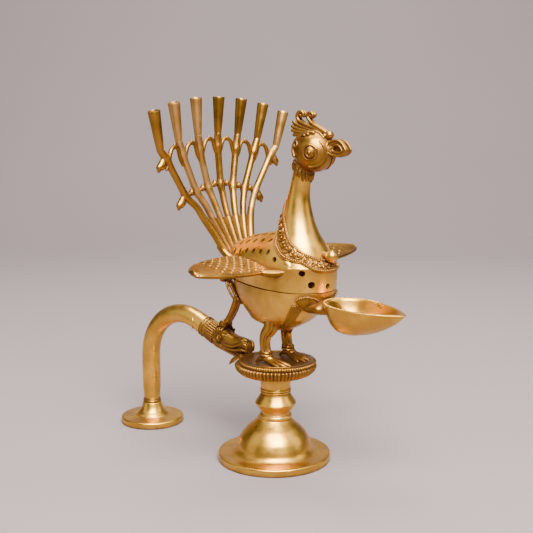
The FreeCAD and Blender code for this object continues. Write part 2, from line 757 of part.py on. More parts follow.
def make_tail(outside):
    rods = []
    half_steps = ROD_COUNT // 2
    for index in range(ROD_COUNT):
        step = index - half_steps
        rod = rod_solid(step)
        rods.append(rod)
        points = rod_points(step)
        outward = (points[-1] - points[-2]).normalize()
        depth = size("socket_bore_depth")
        start = points[-1] - outward * depth
        bore = Part.makeCylinder(size("socket_bore_r"), depth + 1, start, outward)
        shaped(f"tail_rod_{index + 1}", rod.cut(bore).removeSplitter())

    rings = []
    for name, spare in (("foot", 0), ("hip", 0), ("root", 1.2)):
        half = half_steps * size(f"tail_{name}_y") + size("rod_r") + spare * 0.4
        deep = size("rod_r") + 0.1
        x = size(f"tail_{name}_x")
        z = size(f"tail_{name}_z")
        corners = [(x - deep, -half), (x + deep, -half), (x + deep, half), (x - deep, half)]
        loop = [Vector(cx, cy, z) for cx, cy in corners]
        rings.append(Part.makePolygon(loop + loop[:1]))
    root = Part.makeLoft(rings, True, True)
    shaped("tail_root", root.cut(outside))

    grove = Part.makeCompound(rods)
    arches = []
    beads = []
    for step in range(-half_steps, half_steps):
        left = rod_points(step)
        right = rod_points(step + 1)
        peak = (left[3] + right[3]) / 2 + Vector(0, 0, 7.5)
        for node in (left[3], right[3]):
            arches.append((node + Vector(0, 0, 2), peak))
        middle = (left[2] + right[2]) / 2 + Vector(0, 0, 1.4)
        arm = limb([(*left[2], 1.0), (*middle, 1.0), (*right[2], 1.0)])
        beads.append(arm.fuse(Part.makeSphere(1.75, middle)).cut(grove))
    links = []
    for (start, peak), (end, _) in zip(arches[0::2], arches[1::2]):
        link = limb([(*start, 1.1), (*peak, 1.1), (*end, 1.1)])
        links.append(link.cut(grove))
    shaped("tail_upper_links", Part.makeCompound([largest(s) for s in links]))
    shaped("tail_lower_links", Part.makeCompound([largest(s) for s in beads]))

    buds = []
    for side in (-1, 1):
        points = rod_points(side * half_steps)
        for node in (points[2], points[3]):
            tip = node + Vector(0, side * 5.6, -3.2)
            buds.append(largest(limb([(*node, 1.4), (*tip, 2.0)]).cut(grove)))
    shaped("tail_buds", Part.makeCompound(buds))


def largest(shape):
    """The biggest solid of a cut, which leaves trimmed ends inside a rod behind."""
    return max(shape.Solids, key=lambda solid: solid.Volume)


# ------------------------------------------------------------------------- hinge

def make_hinge(bowl, outside):
    x = size("hinge_x")
    z = size("hinge_z")
    radius = size("knuckle_r")
    rear = size("rear_x")
    side = Vector(0, 1, 0)
    width = 8.4
    slot = 3.2

    strap = plate_between([
        (x - radius, z), (x + 1, z - 3.2), (rear + 3, z - 13), (rear + 8, z - 14.5),
        (rear + 8, z - 4), (rear + 1, z - 0.4), (x + 1, z),
    ], width)
    barrel = Part.makeCylinder(radius, width, Vector(x, -width / 2, z), side)
    gap = Part.makeBox(3.4 + radius, slot, 8, Vector(x - radius - 0.2, -slot / 2, z - 3.6))
    bore = Part.makeCylinder(size("pin_r"), width + 2, Vector(x, -width / 2 - 1, z), side)
    leaf = strap.cut(bowl).fuse(barrel).cut(gap).cut(bore)
    roof = Part.makeBox(20, 20, 10, Vector(x + 3, -10, size("seam_z") - 0.15))
    shaped("hinge_leaf_bowl", leaf.cut(roof))

    narrow = slot - 0.3
    arm = plate_between([
        (x, z + radius), (x, z), (x + 1.6, z + 0.9), (rear + 4, z + 3),
        (rear + 4, z + 10), (rear - 1.6, z + 9),
    ], narrow)
    barrel = Part.makeCylinder(radius, narrow, Vector(x, -narrow / 2, z), side)
    hole_r = size("pin_r") + size("pin_gap")
    hole = Part.makeCylinder(hole_r, narrow + 2, Vector(x, -narrow / 2 - 1, z), side)
    shaped("hinge_leaf_lid", arm.cut(outside).fuse(barrel).cut(hole))

    pin = doc.addObject("Part::Cylinder", "hinge_pin")
    pin.setExpression("Radius", "Size.pin_r")
    pin.Height = width + 0.8
    pin.Placement.Base.y = width / 2 + 0.4
    pin.Placement.Rotation = FreeCAD.Rotation(Vector(1, 0, 0), 90)
    finish(pin, "hinge_pin", "Size.hinge_x", "Size.hinge_z")


def plate_between(corners, width):
    """A plate with a side-view outline, centred on the plane of symmetry."""
    loop = [Vector(x, -width / 2, z) for x, z in corners]
    face = Part.Face(Part.makePolygon(loop + loop[:1]))
    return face.extrude(Vector(0, width, 0))


make_pedestal()
make_handle()
doc.recompute()
outside, ball, neck = make_body()
bowl = egg_loft(bowl_levels(size("seam_z"), 0))
make_necklace(neck, outside)
make_head(ball, neck)
make_wings(outside)
make_spoon(bowl)
make_legs(bowl)
make_tail(outside)
make_hinge(bowl, outside)
doc.recompute()

# -------------------------------------------------------------------- write out

for item in doc.Objects:
    if "Invalid" in item.State or "Error" in item.State:
        raise RuntimeError(f"{item.Label} failed: {item.State}")
for item in sub_parts:
    if item.Shape.isNull() or not item.Shape.isValid():
        raise RuntimeError(f"{item.Label} has no valid shape")

os.makedirs("parts", exist_ok=True)
for item in sub_parts:
    item.Shape.exportStep(f"parts/{item.Label}.step")
    print(item.Label, round(item.Shape.Volume, 1), item.Shape.BoundBox)
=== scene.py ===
import json
from math import copysign, cos, pi, radians, sin, sqrt, tan

import bpy
import bmesh
import numpy as np
from mathutils import Matrix, Vector
from mathutils.bvhtree import BVHTree

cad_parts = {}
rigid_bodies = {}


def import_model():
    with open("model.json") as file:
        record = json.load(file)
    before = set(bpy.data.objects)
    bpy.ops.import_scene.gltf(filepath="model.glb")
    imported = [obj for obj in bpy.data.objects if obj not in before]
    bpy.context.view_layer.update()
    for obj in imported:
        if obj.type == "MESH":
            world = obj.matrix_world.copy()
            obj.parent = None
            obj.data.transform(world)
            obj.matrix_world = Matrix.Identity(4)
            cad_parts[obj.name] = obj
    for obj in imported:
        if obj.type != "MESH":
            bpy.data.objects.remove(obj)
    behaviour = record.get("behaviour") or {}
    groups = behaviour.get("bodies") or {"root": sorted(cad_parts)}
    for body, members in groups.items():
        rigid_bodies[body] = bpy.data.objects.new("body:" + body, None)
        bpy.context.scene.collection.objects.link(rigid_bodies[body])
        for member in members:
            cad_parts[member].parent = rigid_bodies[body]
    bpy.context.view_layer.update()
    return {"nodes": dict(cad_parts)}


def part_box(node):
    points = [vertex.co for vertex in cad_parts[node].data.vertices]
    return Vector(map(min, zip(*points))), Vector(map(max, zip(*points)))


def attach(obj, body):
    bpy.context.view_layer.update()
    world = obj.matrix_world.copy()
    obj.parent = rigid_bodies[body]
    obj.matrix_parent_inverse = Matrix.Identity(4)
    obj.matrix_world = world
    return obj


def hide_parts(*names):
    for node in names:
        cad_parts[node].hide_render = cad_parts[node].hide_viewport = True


# Looks of the brass peacock burner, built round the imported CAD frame. Meshes are
# drawn in millimetres about the pedestal's axis, as the CAD is, with X towards the
# beak, Y to the bird's left and Z up, and are moved to the frame when they are made.

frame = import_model()
base_low, base_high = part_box("pedestal_base")
AXIS = Vector(((base_low.x + base_high.x) / 2, 0, 0))
MM = 0.001
STAND = "stand"
LID = "lid"
SIDES = (-1, 1)
UP_X = (1, 0, 0)
UP_Z = (0, 0, 1)

# sizes shared by several pieces, in millimetres
SEAM_Z = 110.4
CREASE_Z = 124.7
BACK_Z = 144.4
BREAST_X = 22.5
BREAST_R = 20.0
REAR_X = -34.0
BOWL_Z = 83.8
WALL = 2.0
STEM = (1.2, 0)
DISC_X = 2.5
DISC_Z = 63.7
FOOT_X = -112.0
BEND = (FOOT_X + 33, 48)
FALL = radians(21)
HINGE_X = -39.5
HINGE_Z = 109.6
HEAD = np.array((30.3, 0.0, 191.1))
HEAD_R = 12.2
SPOON_ROOT = 41.0
SPOON_TIP = 93.85
SPOON_RIM = 105.6
SPOON_DEPTH = 16.6
SPOON_HALF = 16.8
SPOON_WALL = 1.6
SPOON_DROOP = radians(2.6)


# ------------------------------------------------------------------ mesh tools

def circle(count):
    """Even turns round a full circle, in radians."""
    return np.linspace(0, 2 * pi, count, endpoint=False)


def level_way(degrees):
    """The level direction at a turn from straight ahead."""
    turn = radians(degrees)
    return np.array((cos(turn), sin(turn), 0.0))


def between(first, second, share):
    """The point a share of the way from the first to the second."""
    return first * (1 - share) + second * share


class Shape:
    """Closed shells in millimetres, gathered into one piece."""

    def __init__(self):
        self.points = []
        self.faces = []

    def rings(self, rows, loop=False, caps=True):
        """Joins closed rings of equal length; caps fan to each end ring's middle."""
        first = len(self.points)
        count = len(rows[0])
        for row in rows:
            self.points.extend(np.asarray(row, float))
        total = len(rows)
        for step in range(total if loop else total - 1):
            low = first + step * count
            high = first + (step + 1) % total * count
            for col in range(count):
                after = (col + 1) % count
                self.faces.append((low + col, low + after, high + after, high + col))
        if loop or not caps:
            return
        for row, start in ((rows[0], first), (rows[-1], first + (total - 1) * count)):
            middle = len(self.points)
            self.points.append(np.mean(np.asarray(row, float), axis=0))
            for col in range(count):
                self.faces.append((start + col, start + (col + 1) % count, middle))

    def mesh(self, name):
        """The shells as mesh data, with every face turned outwards."""
        data = bpy.data.meshes.new(name)
        spots = [tuple(p) for p in self.points]
        data.from_pydata(spots, [], self.faces)
        work = bmesh.new()
        work.from_mesh(data)
        bmesh.ops.recalc_face_normals(work, faces=work.faces)
        work.to_mesh(data)
        work.free()
        return data


def spline(points, per=8, closed=False):
    """A smooth run through points of any number of values."""
    p = np.array(points, float)
    if closed:
        p = np.vstack([p[-1:], p, p[:2]])
    else:
        p = np.vstack([2 * p[0] - p[1], p, 2 * p[-1] - p[-2]])
    t = np.linspace(0, 1, per, endpoint=False)[:, None]
    out = []
    for i in range(1, len(p) - 2):
        a, b, c, d = p[i - 1:i + 3]
        bend = (2 * a - 5 * b + 4 * c - d) * t ** 2 + (3 * b - a - 3 * c + d) * t ** 3
        out.append(0.5 * (2 * b + (c - a) * t + bend))
    if not closed:
        out.append(p[-2:-1])
    return np.vstack(out)


def unit(v):
    """The same direction, one long."""
    v = np.asarray(v, float)
    return v / max(np.linalg.norm(v), 1e-9)


def tube(shape, spots, sides=16, per=6, flat=1.0, up=(0, 1, 0), closed=False,
         flutes=0, depth=0.0, smooth=True):
    """A bar along (x, y, z, radius) points, with round ends; flat scales it along up."""
    run = spline(spots, per, closed) if smooth else np.array(spots, float)
    centre = run[:, :3]
    if closed:
        ahead = np.roll(centre, -1, axis=0) - np.roll(centre, 1, axis=0)
    else:
        ahead = np.gradient(centre, axis=0)
    turn = circle(sides)
    wave = 1 - depth * (0.5 - 0.5 * np.cos(flutes * turn))

    def ring(spot, radius, along):
        along = unit(along)
        side = unit(np.cross(along, up))
        lift = np.cross(side, along)
        across = np.outer(np.cos(turn) * wave, side)
        return spot + radius * (across + flat * np.outer(np.sin(turn) * wave, lift))

    def end(index, way):
        """The rings that round off an end, the outermost last."""
        for angle in np.radians((28, 55, 80)):
            on = unit(ahead[index]) * run[index, 3] * sin(angle) * way
            yield ring(centre[index] + on, run[index, 3] * cos(angle), ahead[index])

    rows = [ring(*one) for one in zip(centre, run[:, 3], ahead)]
    if not closed:
        rows = list(end(0, -1))[::-1] + rows + list(end(-1, 1))
    shape.rings(rows, loop=closed)


def pair(shape, spots, **kinds):
    """The same bar on both sides of the middle plane."""
    for side in SIDES:
        tube(shape, [(x, side * y, z, radius) for x, y, z, radius in spots], **kinds)


def hoop(shape, middle, across, upward, radius, count=18, sides=8, per=2, up=(0, 1, 0)):
    """A round cord closed in a ring; across and upward are the ring's half axes."""
    across, upward = np.array(across), np.array(upward)
    tube(shape, [(*(middle + across * cos(a) + upward * sin(a)), radius)
                 for a in circle(count)], sides=sides, per=per, up=up, closed=True)


def ball(shape, centre, radii, along=(0, 0, 1), side=(1, 0, 0), rows=10, cols=16):
    """An ellipsoid: radii across, sideways and along."""
    centre = np.asarray(centre, float)
    if not hasattr(radii, "__len__"):
        radii = (radii, radii, radii)
    along = unit(along)
    side = np.asarray(side, float)
    if abs(np.dot(unit(side), along)) > 0.95:
        side = np.array((0.0, 1.0, 0.0))
    side = unit(side - along * np.dot(side, along))
    third = np.cross(along, side)
    turn = circle(cols)
    level = []
    for lift in np.linspace(-pi / 2, pi / 2, rows + 1)[1:-1]:
        out = np.outer(np.cos(turn) * radii[0], side) + np.outer(np.sin(turn) * radii[1], third)
        level.append(centre + out * cos(lift) + along * radii[2] * sin(lift))
    first = len(shape.points)
    shape.rings(level, caps=False)
    last = first + (len(level) - 1) * cols
    for start, end in ((first, -1), (last, 1)):
        middle = len(shape.points)
        shape.points.append(centre + along * radii[2] * end)
        for col in range(cols):
            shape.faces.append((start + col, start + (col + 1) % cols, middle))


def rounded(profile, soft):
    """The profile with each corner turned over a short curve."""
    p = [np.array(c, float) for c in profile]
    out = [p[0]]
    for before, corner, after in zip(p, p[1:], p[2:]):
        one = min(soft, 0.45 * np.linalg.norm(before - corner))
        two = min(soft, 0.45 * np.linalg.norm(after - corner))
        start = corner + unit(before - corner) * one
        stop = corner + unit(after - corner) * two
        for t in (0, 0.33, 0.67, 1):
            out.append(start * (1 - t) ** 2 + corner * 2 * t * (1 - t) + stop * t ** 2)
    out.append(p[-1])
    return out


def lathe(shape, profile, sides=128, centre=(0, 0), soft=0.4, wave=None):
    """Turns (radius, height) corners about a vertical axis; wave adds to the radius."""
    turn = circle(sides)
    rows = []
    for radius, height in rounded(profile, soft):
        reach = np.full(sides, max(radius, 0.02))
        if wave:
            reach = reach + wave(turn, radius)
        x = centre[0] + reach * np.cos(turn)
        y = centre[1] + reach * np.sin(turn)
        rows.append(np.stack([x, y, np.full(sides, height)], axis=1))
    shape.rings(rows)


def arc(cx, cz, radius, start, stop, count=8):
    """(x, z) points of an arc, in degrees."""
    angles = np.radians(np.linspace(start, stop, count))
    return [(cx + radius * cos(a), cz + radius * sin(a)) for a in angles]


def beads(shape, path, radius, pitch):
    """Round beads strung along a path, a pitch apart."""
    path = np.asarray(path, float)
    steps = np.linalg.norm(np.diff(path, axis=0), axis=1)
    reach = np.concatenate([[0], np.cumsum(steps)])
    for at in np.arange(pitch / 2, reach[-1], pitch):
        spot = [np.interp(at, reach, path[:, k]) for k in range(3)]
        ball(shape, spot, radius, rows=6, cols=8)


# -------------------------------------------------------------------- materials

class Paint:
    """A procedural material; each call adds a node, from values and other outputs."""

    def __init__(self, name):
        self.material = bpy.data.materials.new(name)
        self.material.use_nodes = True
        self.tree = self.material.node_tree
        self.shader = self.tree.nodes["Principled BSDF"]
        self.place = self.add("TexCoord").outputs["Object"]

    def put(self, value, socket):
        """Sets an input to a value, or links another node's output to it."""
        if isinstance(value, bpy.types.NodeSocket):
            self.tree.links.new(value, socket)
        else:
            socket.default_value = value

    def add(self, kind, **inputs):
        node = self.tree.nodes.new("ShaderNode" + kind)
        for label, value in inputs.items():
            self.put(value, node.inputs[label.replace("_", " ")])
        return node

    def noise(self, scale, detail, roughness=0.55):
        return self.add("TexNoise", Scale=scale, Detail=detail, Roughness=roughness,
                        Vector=self.place).outputs["Fac"]

    def ramp(self, source, low, high, start=0.0, stop=1.0):
        """Maps low to high on to start to stop, and no further."""
        return self.add("MapRange", Value=source, From_Min=low, From_Max=high,
                        To_Min=start, To_Max=stop).outputs["Result"]

    def mix(self, share, first, second):
        """A colour between two colours."""
        node = self.add("Mix")
        node.data_type = "RGBA"
        self.put(share, node.inputs["Factor"])
        colours = [socket for socket in node.inputs if socket.type == "RGBA"]
        for value, socket in zip((first, second), colours):
            self.put((*value, 1) if isinstance(value, tuple) else value, socket)
        return [socket for socket in node.outputs if socket.type == "RGBA"][0]

    def sum(self, kind, first, second, clamp=True):
        node = self.add("Math")
        node.operation = kind
        node.use_clamp = clamp
        self.put(first, node.inputs[0])
        self.put(second, node.inputs[1])
        return node.outputs["Value"]


def brass(name, light, mid, patina_and_shade_brown, rough=0.3, patina_and_shade_amount=0.55, grain=0.10, reach=0.004):
    """Cast brass: two golds in soft clouds, browned in the hollows by patina and by painted shade
    from ambient occlusion.
    """
    paint = Paint(name)
    # ambient occlusion darkens the colour in hollows and creases: painted shade, broken by noise
    # and laid with the brass's patina and stains
    hollow = paint.add("AmbientOcclusion", Distance=reach)
    hollow.samples = 12
    shade = paint.ramp(hollow.outputs["AO"], 0.6, 1.0, 1.0, 0.0)
    painted_shade_patches = paint.sum("MULTIPLY", shade, paint.ramp(paint.noise(240, 3), 0.3, 0.6, 0.55))
    stain = paint.ramp(paint.noise(90, 5, 0.65), 0.52, 0.74, 0.0, 0.5)
    both = paint.sum("ADD", painted_shade_patches, paint.sum("MULTIPLY", stain, 0.45))
    patina_and_painted_shade = paint.sum("MULTIPLY", both, patina_and_shade_amount)
    gold = paint.mix(paint.ramp(paint.noise(55, 3), 0.38, 0.62), light, mid)
    uneven = paint.ramp(paint.noise(160, 5), 0.3, 0.7, rough - 0.05, rough + 0.07)
    specks = paint.add("Bump", Strength=grain, Distance=0.0004, Height=paint.noise(520, 4))
    swell = paint.add("Bump", Strength=0.16, Distance=0.0011, Height=paint.noise(70, 2),
                      Normal=specks.outputs["Normal"])
    for label, value in (
        # the base colour turns brown where patina, stains and painted shade in the hollows fall
        ("Base Color", paint.mix(patina_and_painted_shade, gold, patina_and_shade_brown)),
        ("Metallic", paint.ramp(patina_and_painted_shade, 0.0, 1.0, 1.0, 0.75)),
        ("Roughness", paint.sum("ADD", uneven, paint.sum("MULTIPLY", patina_and_painted_shade, 0.28))),
        ("Normal", swell.outputs["Normal"]),
    ):
        paint.put(value, paint.shader.inputs[label])
    return paint.material


GOLD = (0.78, 0.43, 0.062)
DEEP = (0.55, 0.285, 0.038)
WARM = (0.34, 0.165, 0.024)
BROWN = (0.16, 0.065, 0.018)
# each finish sets how strongly patina, stains and painted shade in the hollows brown its colour
FINISH = {
    "brass_polished": brass("brass_smooth", GOLD, DEEP, BROWN, patina_and_shade_amount=0.85, grain=0.05),
    "brass_cast": brass("brass_worked", WARM, (0.22, 0.105, 0.015), BROWN, rough=0.31,
                        patina_and_shade_amount=1.0, grain=0.12, reach=0.0032),
    "brass_brown": brass("brass_smoked", WARM, (0.52, 0.29, 0.09), (0.09, 0.035, 0.012),
                         rough=0.36, patina_and_shade_amount=1.0, grain=0.14),
    "brass_hardware": brass("brass_fastening", DEEP, WARM, BROWN, rough=0.34, patina_and_shade_amount=0.9,
                            grain=0.08),
}


def piece(name, shape, body, slot, nodes=(), crease=40, data=None):
    """Makes a shape a piece of the object, riding on a CAD body."""
    data = data or shape.mesh(name)
    data.transform(Matrix.Translation(AXIS) @ Matrix.Scale(MM, 4))
    data.shade_smooth()
    data.set_sharp_from_angle(angle=radians(crease))
    item = bpy.data.objects.new(name, data)
    bpy.context.scene.collection.objects.link(item)
    data.materials.append(FINISH[slot])
    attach(item, body)
    if nodes:
        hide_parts(*nodes)
    return item


# --------------------------------------------------------------- body's surfaces

def egg(levels, turn):
    """Level outlines round the bird: (z, rear, middle, front, half, taper, blunt)."""
    along = np.cos(turn)
    wide = np.abs(np.sin(turn))
    sign = np.sign(np.sin(turn))
    rows = []
    for z, rear, middle, front, half, taper, blunt in levels:
        squeeze = wide ** (2 * taper) * (1 - blunt) + wide * blunt
        x = middle + along * np.where(along < 0, middle - rear, front - middle)
        y = half * sign * np.where(along < 0, squeeze, wide)
        rows.append(np.stack([x, y, np.full(len(turn), z)], axis=1))
    return rows


def inset(levels, wall):
    """The same outlines a wall further in."""
    return [
        (z, rear + 1.6 * wall, middle, front - wall, half - wall, taper, blunt)
        for z, rear, middle, front, half, taper, blunt in levels
    ]


def bowl_levels():
    """The bowl's outlines, from its underside to the seam."""
    deep = SEAM_Z - BOWL_Z
    return [
        (BOWL_Z, BREAST_X - 21, BREAST_X - 16, BREAST_X - 10, 5, 0.5, 1),
        (BOWL_Z + 0.12 * deep, REAR_X + 19, BREAST_X - 13, BREAST_X - 3, 9.5, 0.5, 1),
        (BOWL_Z + 0.27 * deep, REAR_X + 14, BREAST_X - 9, BREAST_X + 4, 13, 0.65, 0.7),
        (BOWL_Z + 0.5 * deep, REAR_X + 8, BREAST_X - 6.5, BREAST_X + 10, 16.3, 0.85, 0.5),
        (BOWL_Z + 0.75 * deep, REAR_X + 3, BREAST_X - 3, BREAST_X + 16, 19, 1.05, 0.38),
        (SEAM_Z - 0.15, REAR_X, BREAST_X, BREAST_X + BREAST_R - 0.5, BREAST_R, 1.25, 0.3),
    ]


def lid_levels():
    """The lid's outlines, from the seam to the crease where the pierced back begins."""
    front = BREAST_X + BREAST_R
    half_way = (SEAM_Z + CREASE_Z) / 2
    return [
        (SEAM_Z + 0.15, REAR_X, BREAST_X, front - 0.5, BREAST_R, 1.25, 0.3),
        (half_way, REAR_X - 0.5, BREAST_X, front, BREAST_R, 0.9, 0.5),
        (CREASE_Z, REAR_X - 1, BREAST_X, front, BREAST_R, 0.6, 0.9),
    ]


NECK_RINGS = [
    (CREASE_Z - 1, 0, 19.5), (CREASE_Z, 0, 19.4), (CREASE_Z + 4, -1, 17.2),
    (CREASE_Z + 12.3, -2.2, 14.8), (CREASE_Z + 18.8, -3.2, 11.8),
    (CREASE_Z + 27.3, -4, 9.2), (CREASE_Z + 38.3, -3.9, 6.9),
    (CREASE_Z + 47.3, -2.4, 5.9), (CREASE_Z + 57.3, 0.2, 5.8),
]


def rim_curl(rows, inner, drop):
    """Outer rows, a rounded lip, and inner rows, as one run."""
    lip = rows[-1] * 0.8 + inner[0] * 0.2
    lip[:, 2] = rows[-1][:, 2] + drop
    lip_in = rows[-1] * 0.2 + inner[0] * 0.8
    lip_in[:, 2] = rows[-1][:, 2] + drop
    return rows + [lip, lip_in] + inner


def closed_under(rows, pole, steps):
    """The rows that close a cup's underside, as (share of its first row, fall)."""
    made = []
    for share, fall in steps:
        row = pole + (rows[0] - pole) * share
        row[:, 2] = rows[0][0, 2] - fall
        made.append(row)
    return made + rows


def make_bowl():
    turn = circle(160)
    levels = spline(bowl_levels(), 7)
    outer = egg(levels, turn)
    pole = np.array((BREAST_X - 16, 0, BOWL_Z))
    outer = closed_under(outer, pole, ((0.25, 0.9), (0.6, 0.75), (0.86, 0.4)))
    inner = egg(inset(levels, WALL), turn)
    cup = [row for row in inner if row[0, 2] > BOWL_Z + 2.5][::-1]
    outer[-1][:, 2] -= 0.3
    shape = Shape()
    shape.rings(rim_curl(outer, cup, 0.3))
    return shape, levels


def bowl_point(levels, turn, z):
    """A point of the bowl's outside at a turn, in degrees, and a height."""
    row = [np.interp(z, levels[:, 0], levels[:, k]) for k in range(7)]
    return egg([row], np.radians([turn]))[0][0]


def dome_rows(turn, shrink):
    """The pierced back above the crease, low in front where the neck stands on it."""
    base = egg([lid_levels()[-1]], turn)[0]
    away = np.abs(np.degrees(np.arctan2(np.sin(turn), np.cos(turn))))
    share = np.clip((away - 62) / 40, 0, 1)
    share = share * share * (3 - 2 * share)
    height = 2.5 + share * (BACK_Z - CREASE_Z - 2.5) - shrink
    ledge = 1.4 - share
    middle = np.array((BREAST_X, 0, CREASE_Z))
    rows = []
    for lift in np.radians(np.linspace(6, 88, 18)):
        out = base - middle
        size = np.linalg.norm(out[:, :2], axis=1)[:, None]
        out = out * (1 - (ledge[:, None] + shrink) / size)
        row = middle + out * cos(lift)
        row[:, 2] = CREASE_Z + height * sin(lift)
        rows.append(row)
    return rows


def make_lid():
    turn = circle(192)
    levels = spline(lid_levels(), 8)
    outer = egg(levels, turn) + dome_rows(turn, 0)
    inner = egg(inset(levels, WALL), turn)[:-2] + dome_rows(turn, WALL)
    outer[0][:, 2] += 0.25
    shape = Shape()
    shape.rings(rim_curl(outer[::-1], inner, -0.25))
    holes = Shape()
    long_r = BREAST_X - REAR_X + 1
    tall_r = BACK_Z - CREASE_Z
    # rows of slots up the back: elevation, first slot's and next one's way back,
    # number and lean
    for elevation, first, step, count, lean in (
        (24.5, 12.7, 6.4, 6, 0.5), (49, 14.9, 6.5, 5, 1.0), (69, 18, 6.6, 4, 1.3),
    ):
        angle = radians(elevation)
        for side in SIDES:
            for index in range(count):
                x = -(first + step * index)
                spread = sqrt(1 - (x / long_r) ** 2)
                y = side * BREAST_R * spread * cos(angle)
                z = tall_r * spread * sin(angle)
                out = unit((0, y / BREAST_R ** 2, z / tall_r ** 2))
                spot = np.array((BREAST_X + x, y, CREASE_Z + z))
                slot_cutter(holes, spot, out, side * lean)
    # round holes in the breast and over the wings
    for turn_deg, z, radius in ((-54, 122.3, 1.9), (-38, 115.6, 2.1), (-6, 114.0, 1.7),
                                (32, 115.6, 1.8), (54, 122.3, 1.9)):
        out = level_way(turn_deg)
        spot = np.array((BREAST_X, 0, z)) + out * BREAST_R
        plug(holes, spot, out, 5, radius, UP_Z)
    for side in SIDES:
        out = unit((0.0, side * 0.95, 0.42))
        plug(holes, np.array((16.0, side * 18.4, 128.8)), out, 4, 1.6, UP_X)
    return cut(shape, holes, "lid_shell")


def plug(shape, spot, out, deep, radius, up):
    """A round bar through the wall, to be cut out of it."""
    tube(shape, [(*(spot - out * deep), radius), (*(spot + out * 3), radius)], sides=20,
         per=1, up=up)


def slot_cutter(shape, spot, out, lean):
    """A slanted oval plug, to be cut out of the back."""
    side = copysign(1, lean)
    lean = unit((0.75 * abs(lean), -out[2] * side * 0.75, out[1] * side * 0.75 + 0.25))
    lean = unit(lean - out * np.dot(lean, out))
    third = np.cross(out, lean)
    turn = circle(18)
    oval = np.outer(np.cos(turn) * 1.95, lean) + np.outer(np.sin(turn) * 1.1, third)
    shape.rings([spot + oval + out * reach for reach in (-4.5, 3.5)])


def cut(shape, tool, name):
    """The shape less the tool's volume."""
    scene = bpy.context.scene.collection.objects
    made = bpy.data.objects.new(name, shape.mesh(name))
    knife = bpy.data.objects.new(name + "_tool", tool.mesh(name + "_tool"))
    scene.link(made)
    scene.link(knife)
    modifier = made.modifiers.new("cut", "BOOLEAN")
    modifier.operation = "DIFFERENCE"
    modifier.solver = "EXACT"
    modifier.object = knife
    bpy.context.view_layer.update()
    graph = bpy.context.evaluated_depsgraph_get()
    result = bpy.data.meshes.new_from_object(made.evaluated_get(graph))
    for item in (made, knife):
        bpy.data.objects.remove(item)
    return result


def make_neck():
    turn = circle(96)
    shape = Shape()
    rows = []
    for z, lean, radius in spline(NECK_RINGS, 8):
        rows.append(np.stack([
            BREAST_X + lean + radius * np.cos(turn),
            radius * np.sin(turn),
            np.full(len(turn), z),
        ], axis=1))
    shape.rings(rows)
    return shape


class Skin:
    """The outside of the bird, for laying ornament on it."""

    def __init__(self, *meshes):
        work = bmesh.new()
        for data in meshes:
            work.from_mesh(data)
        self.tree = BVHTree.FromBMesh(work)
        work.free()

    def cast(self, origin, direction):
        """The first hit and its outward normal."""
        spot, normal, _, _ = self.tree.ray_cast(Vector(origin), Vector(direction))
        return np.array(spot), np.array(normal)

    def round_neck(self, turn, z):
        """The outermost point at a turn, in degrees, about the neck's own axis."""
        rings = np.array(NECK_RINGS)
        lean = np.interp(z, rings[:, 0], rings[:, 1])
        out = level_way(turn)
        level = min(z, rings[-1, 0] - 0.5)
        axis = np.array((BREAST_X + lean, 0.0, level))
        spot, normal = self.cast(axis + out * 60, -out)
        return spot + (0, 0, z - level), normal

    def nearest(self, point):
        """The skin's closest point and its outward normal."""
        spot, normal, _, _ = self.tree.find_nearest(Vector(point))
        return np.array(spot), np.array(normal)


# --------------------------------------------------------------------- pedestal

GADROONS = 34


def make_pedestal():
    base = Shape()
    lathe(base, [
        (0, 0.3), (31, 0.3), (32, 0), (35, 0), (35, 4.5), (33.6, 4.9), (29, 4.6), (25.6, 5.2),
        (23.6, 7.4), (22.9, 10.4), (21.4, 14.4), (19.2, 17.9), (16.4, 20.9), (13.4, 23.3),
        (11.3, 25.1), (10.2, 26.2), (10.3, 27), (0, 27),
    ], sides=144, soft=1.2)
    piece("pedestal_foot", base, STAND, "brass_polished", ["pedestal_base"])

    stem = Shape()
    lathe(stem, [
        (0, 26.6), (9.7, 26.6), (10.2, 27.3), (10.2, 28.4), (9.6, 29.2), (8.8, 29.5),
        (8.7, 30.2), (8.9, 31.6), (9.9, 31.9), (10.5, 32.6), (12.8, 36.1), (12.8, 36.6),
        (9.2, 42.0), (8.7, 42.4), (8.8, 42.9), (9.5, 43.1), (9.6, 43.9), (9.0, 44.2),
        (9.6, 44.5), (9.6, 45.4), (9.0, 45.8), (9.2, 47.5), (9.4, 51), (9.9, 53.2),
        (10.6, 54.2), (0, 54.2),
    ], centre=STEM, soft=0.35)
    piece("pedestal_spindle", stem, STAND, "brass_polished", ["pedestal_stem"])

    def flutes(turn, radius):
        """Gadroons round the skirt, fading towards the stem."""
        share = max(0.0, min(1.0, (radius - 15) / 9))
        lobes = np.abs(np.sin(turn * GADROONS))
        return share * (1.9 * lobes ** 0.6 - 1.5)

    skirt = Shape()
    lathe(skirt, [
        (0, 52.8), (10.4, 52.8), (13.5, 53.2), (17.6, 53.9), (21.6, 55.2), (24.2, 57.6),
        (25.0, 60.0), (24.6, 61.0), (22, 61.5), (0, 61.5),
    ], centre=STEM, sides=434, soft=0.8, wave=flutes)
    piece("platform_gadroons", skirt, STAND, "brass_cast", ["platform_skirt"])

    disc = Shape()
    top = DISC_Z - 0.3
    lathe(disc, [
        (0, 61.2), (22.4, 61.2), (23.2, 61.8), (23.3, 62.9), (22.4, 63.7), (20.4, 63.8),
        (19.4, 63.3), (12, top - 0.5), (0, top - 0.5),
    ], centre=(DISC_X, 0), soft=0.5)
    ring = [(DISC_X + 23.1 * cos(a), 23.1 * sin(a), 62.5)
            for a in np.linspace(0, 2 * pi, 361)]
    beads(disc, ring, (1.05, 0.78, 1.15), 1.55)
    hoop(disc, (DISC_X, 0, 63.55), (20.2, 0, 0), (0, 20.2, 0), 0.45, 48, 10, 3, UP_Z)
    piece("platform_plate", disc, STAND, "brass_cast", ["platform_disc"])


# ----------------------------------------------------------------------- handle

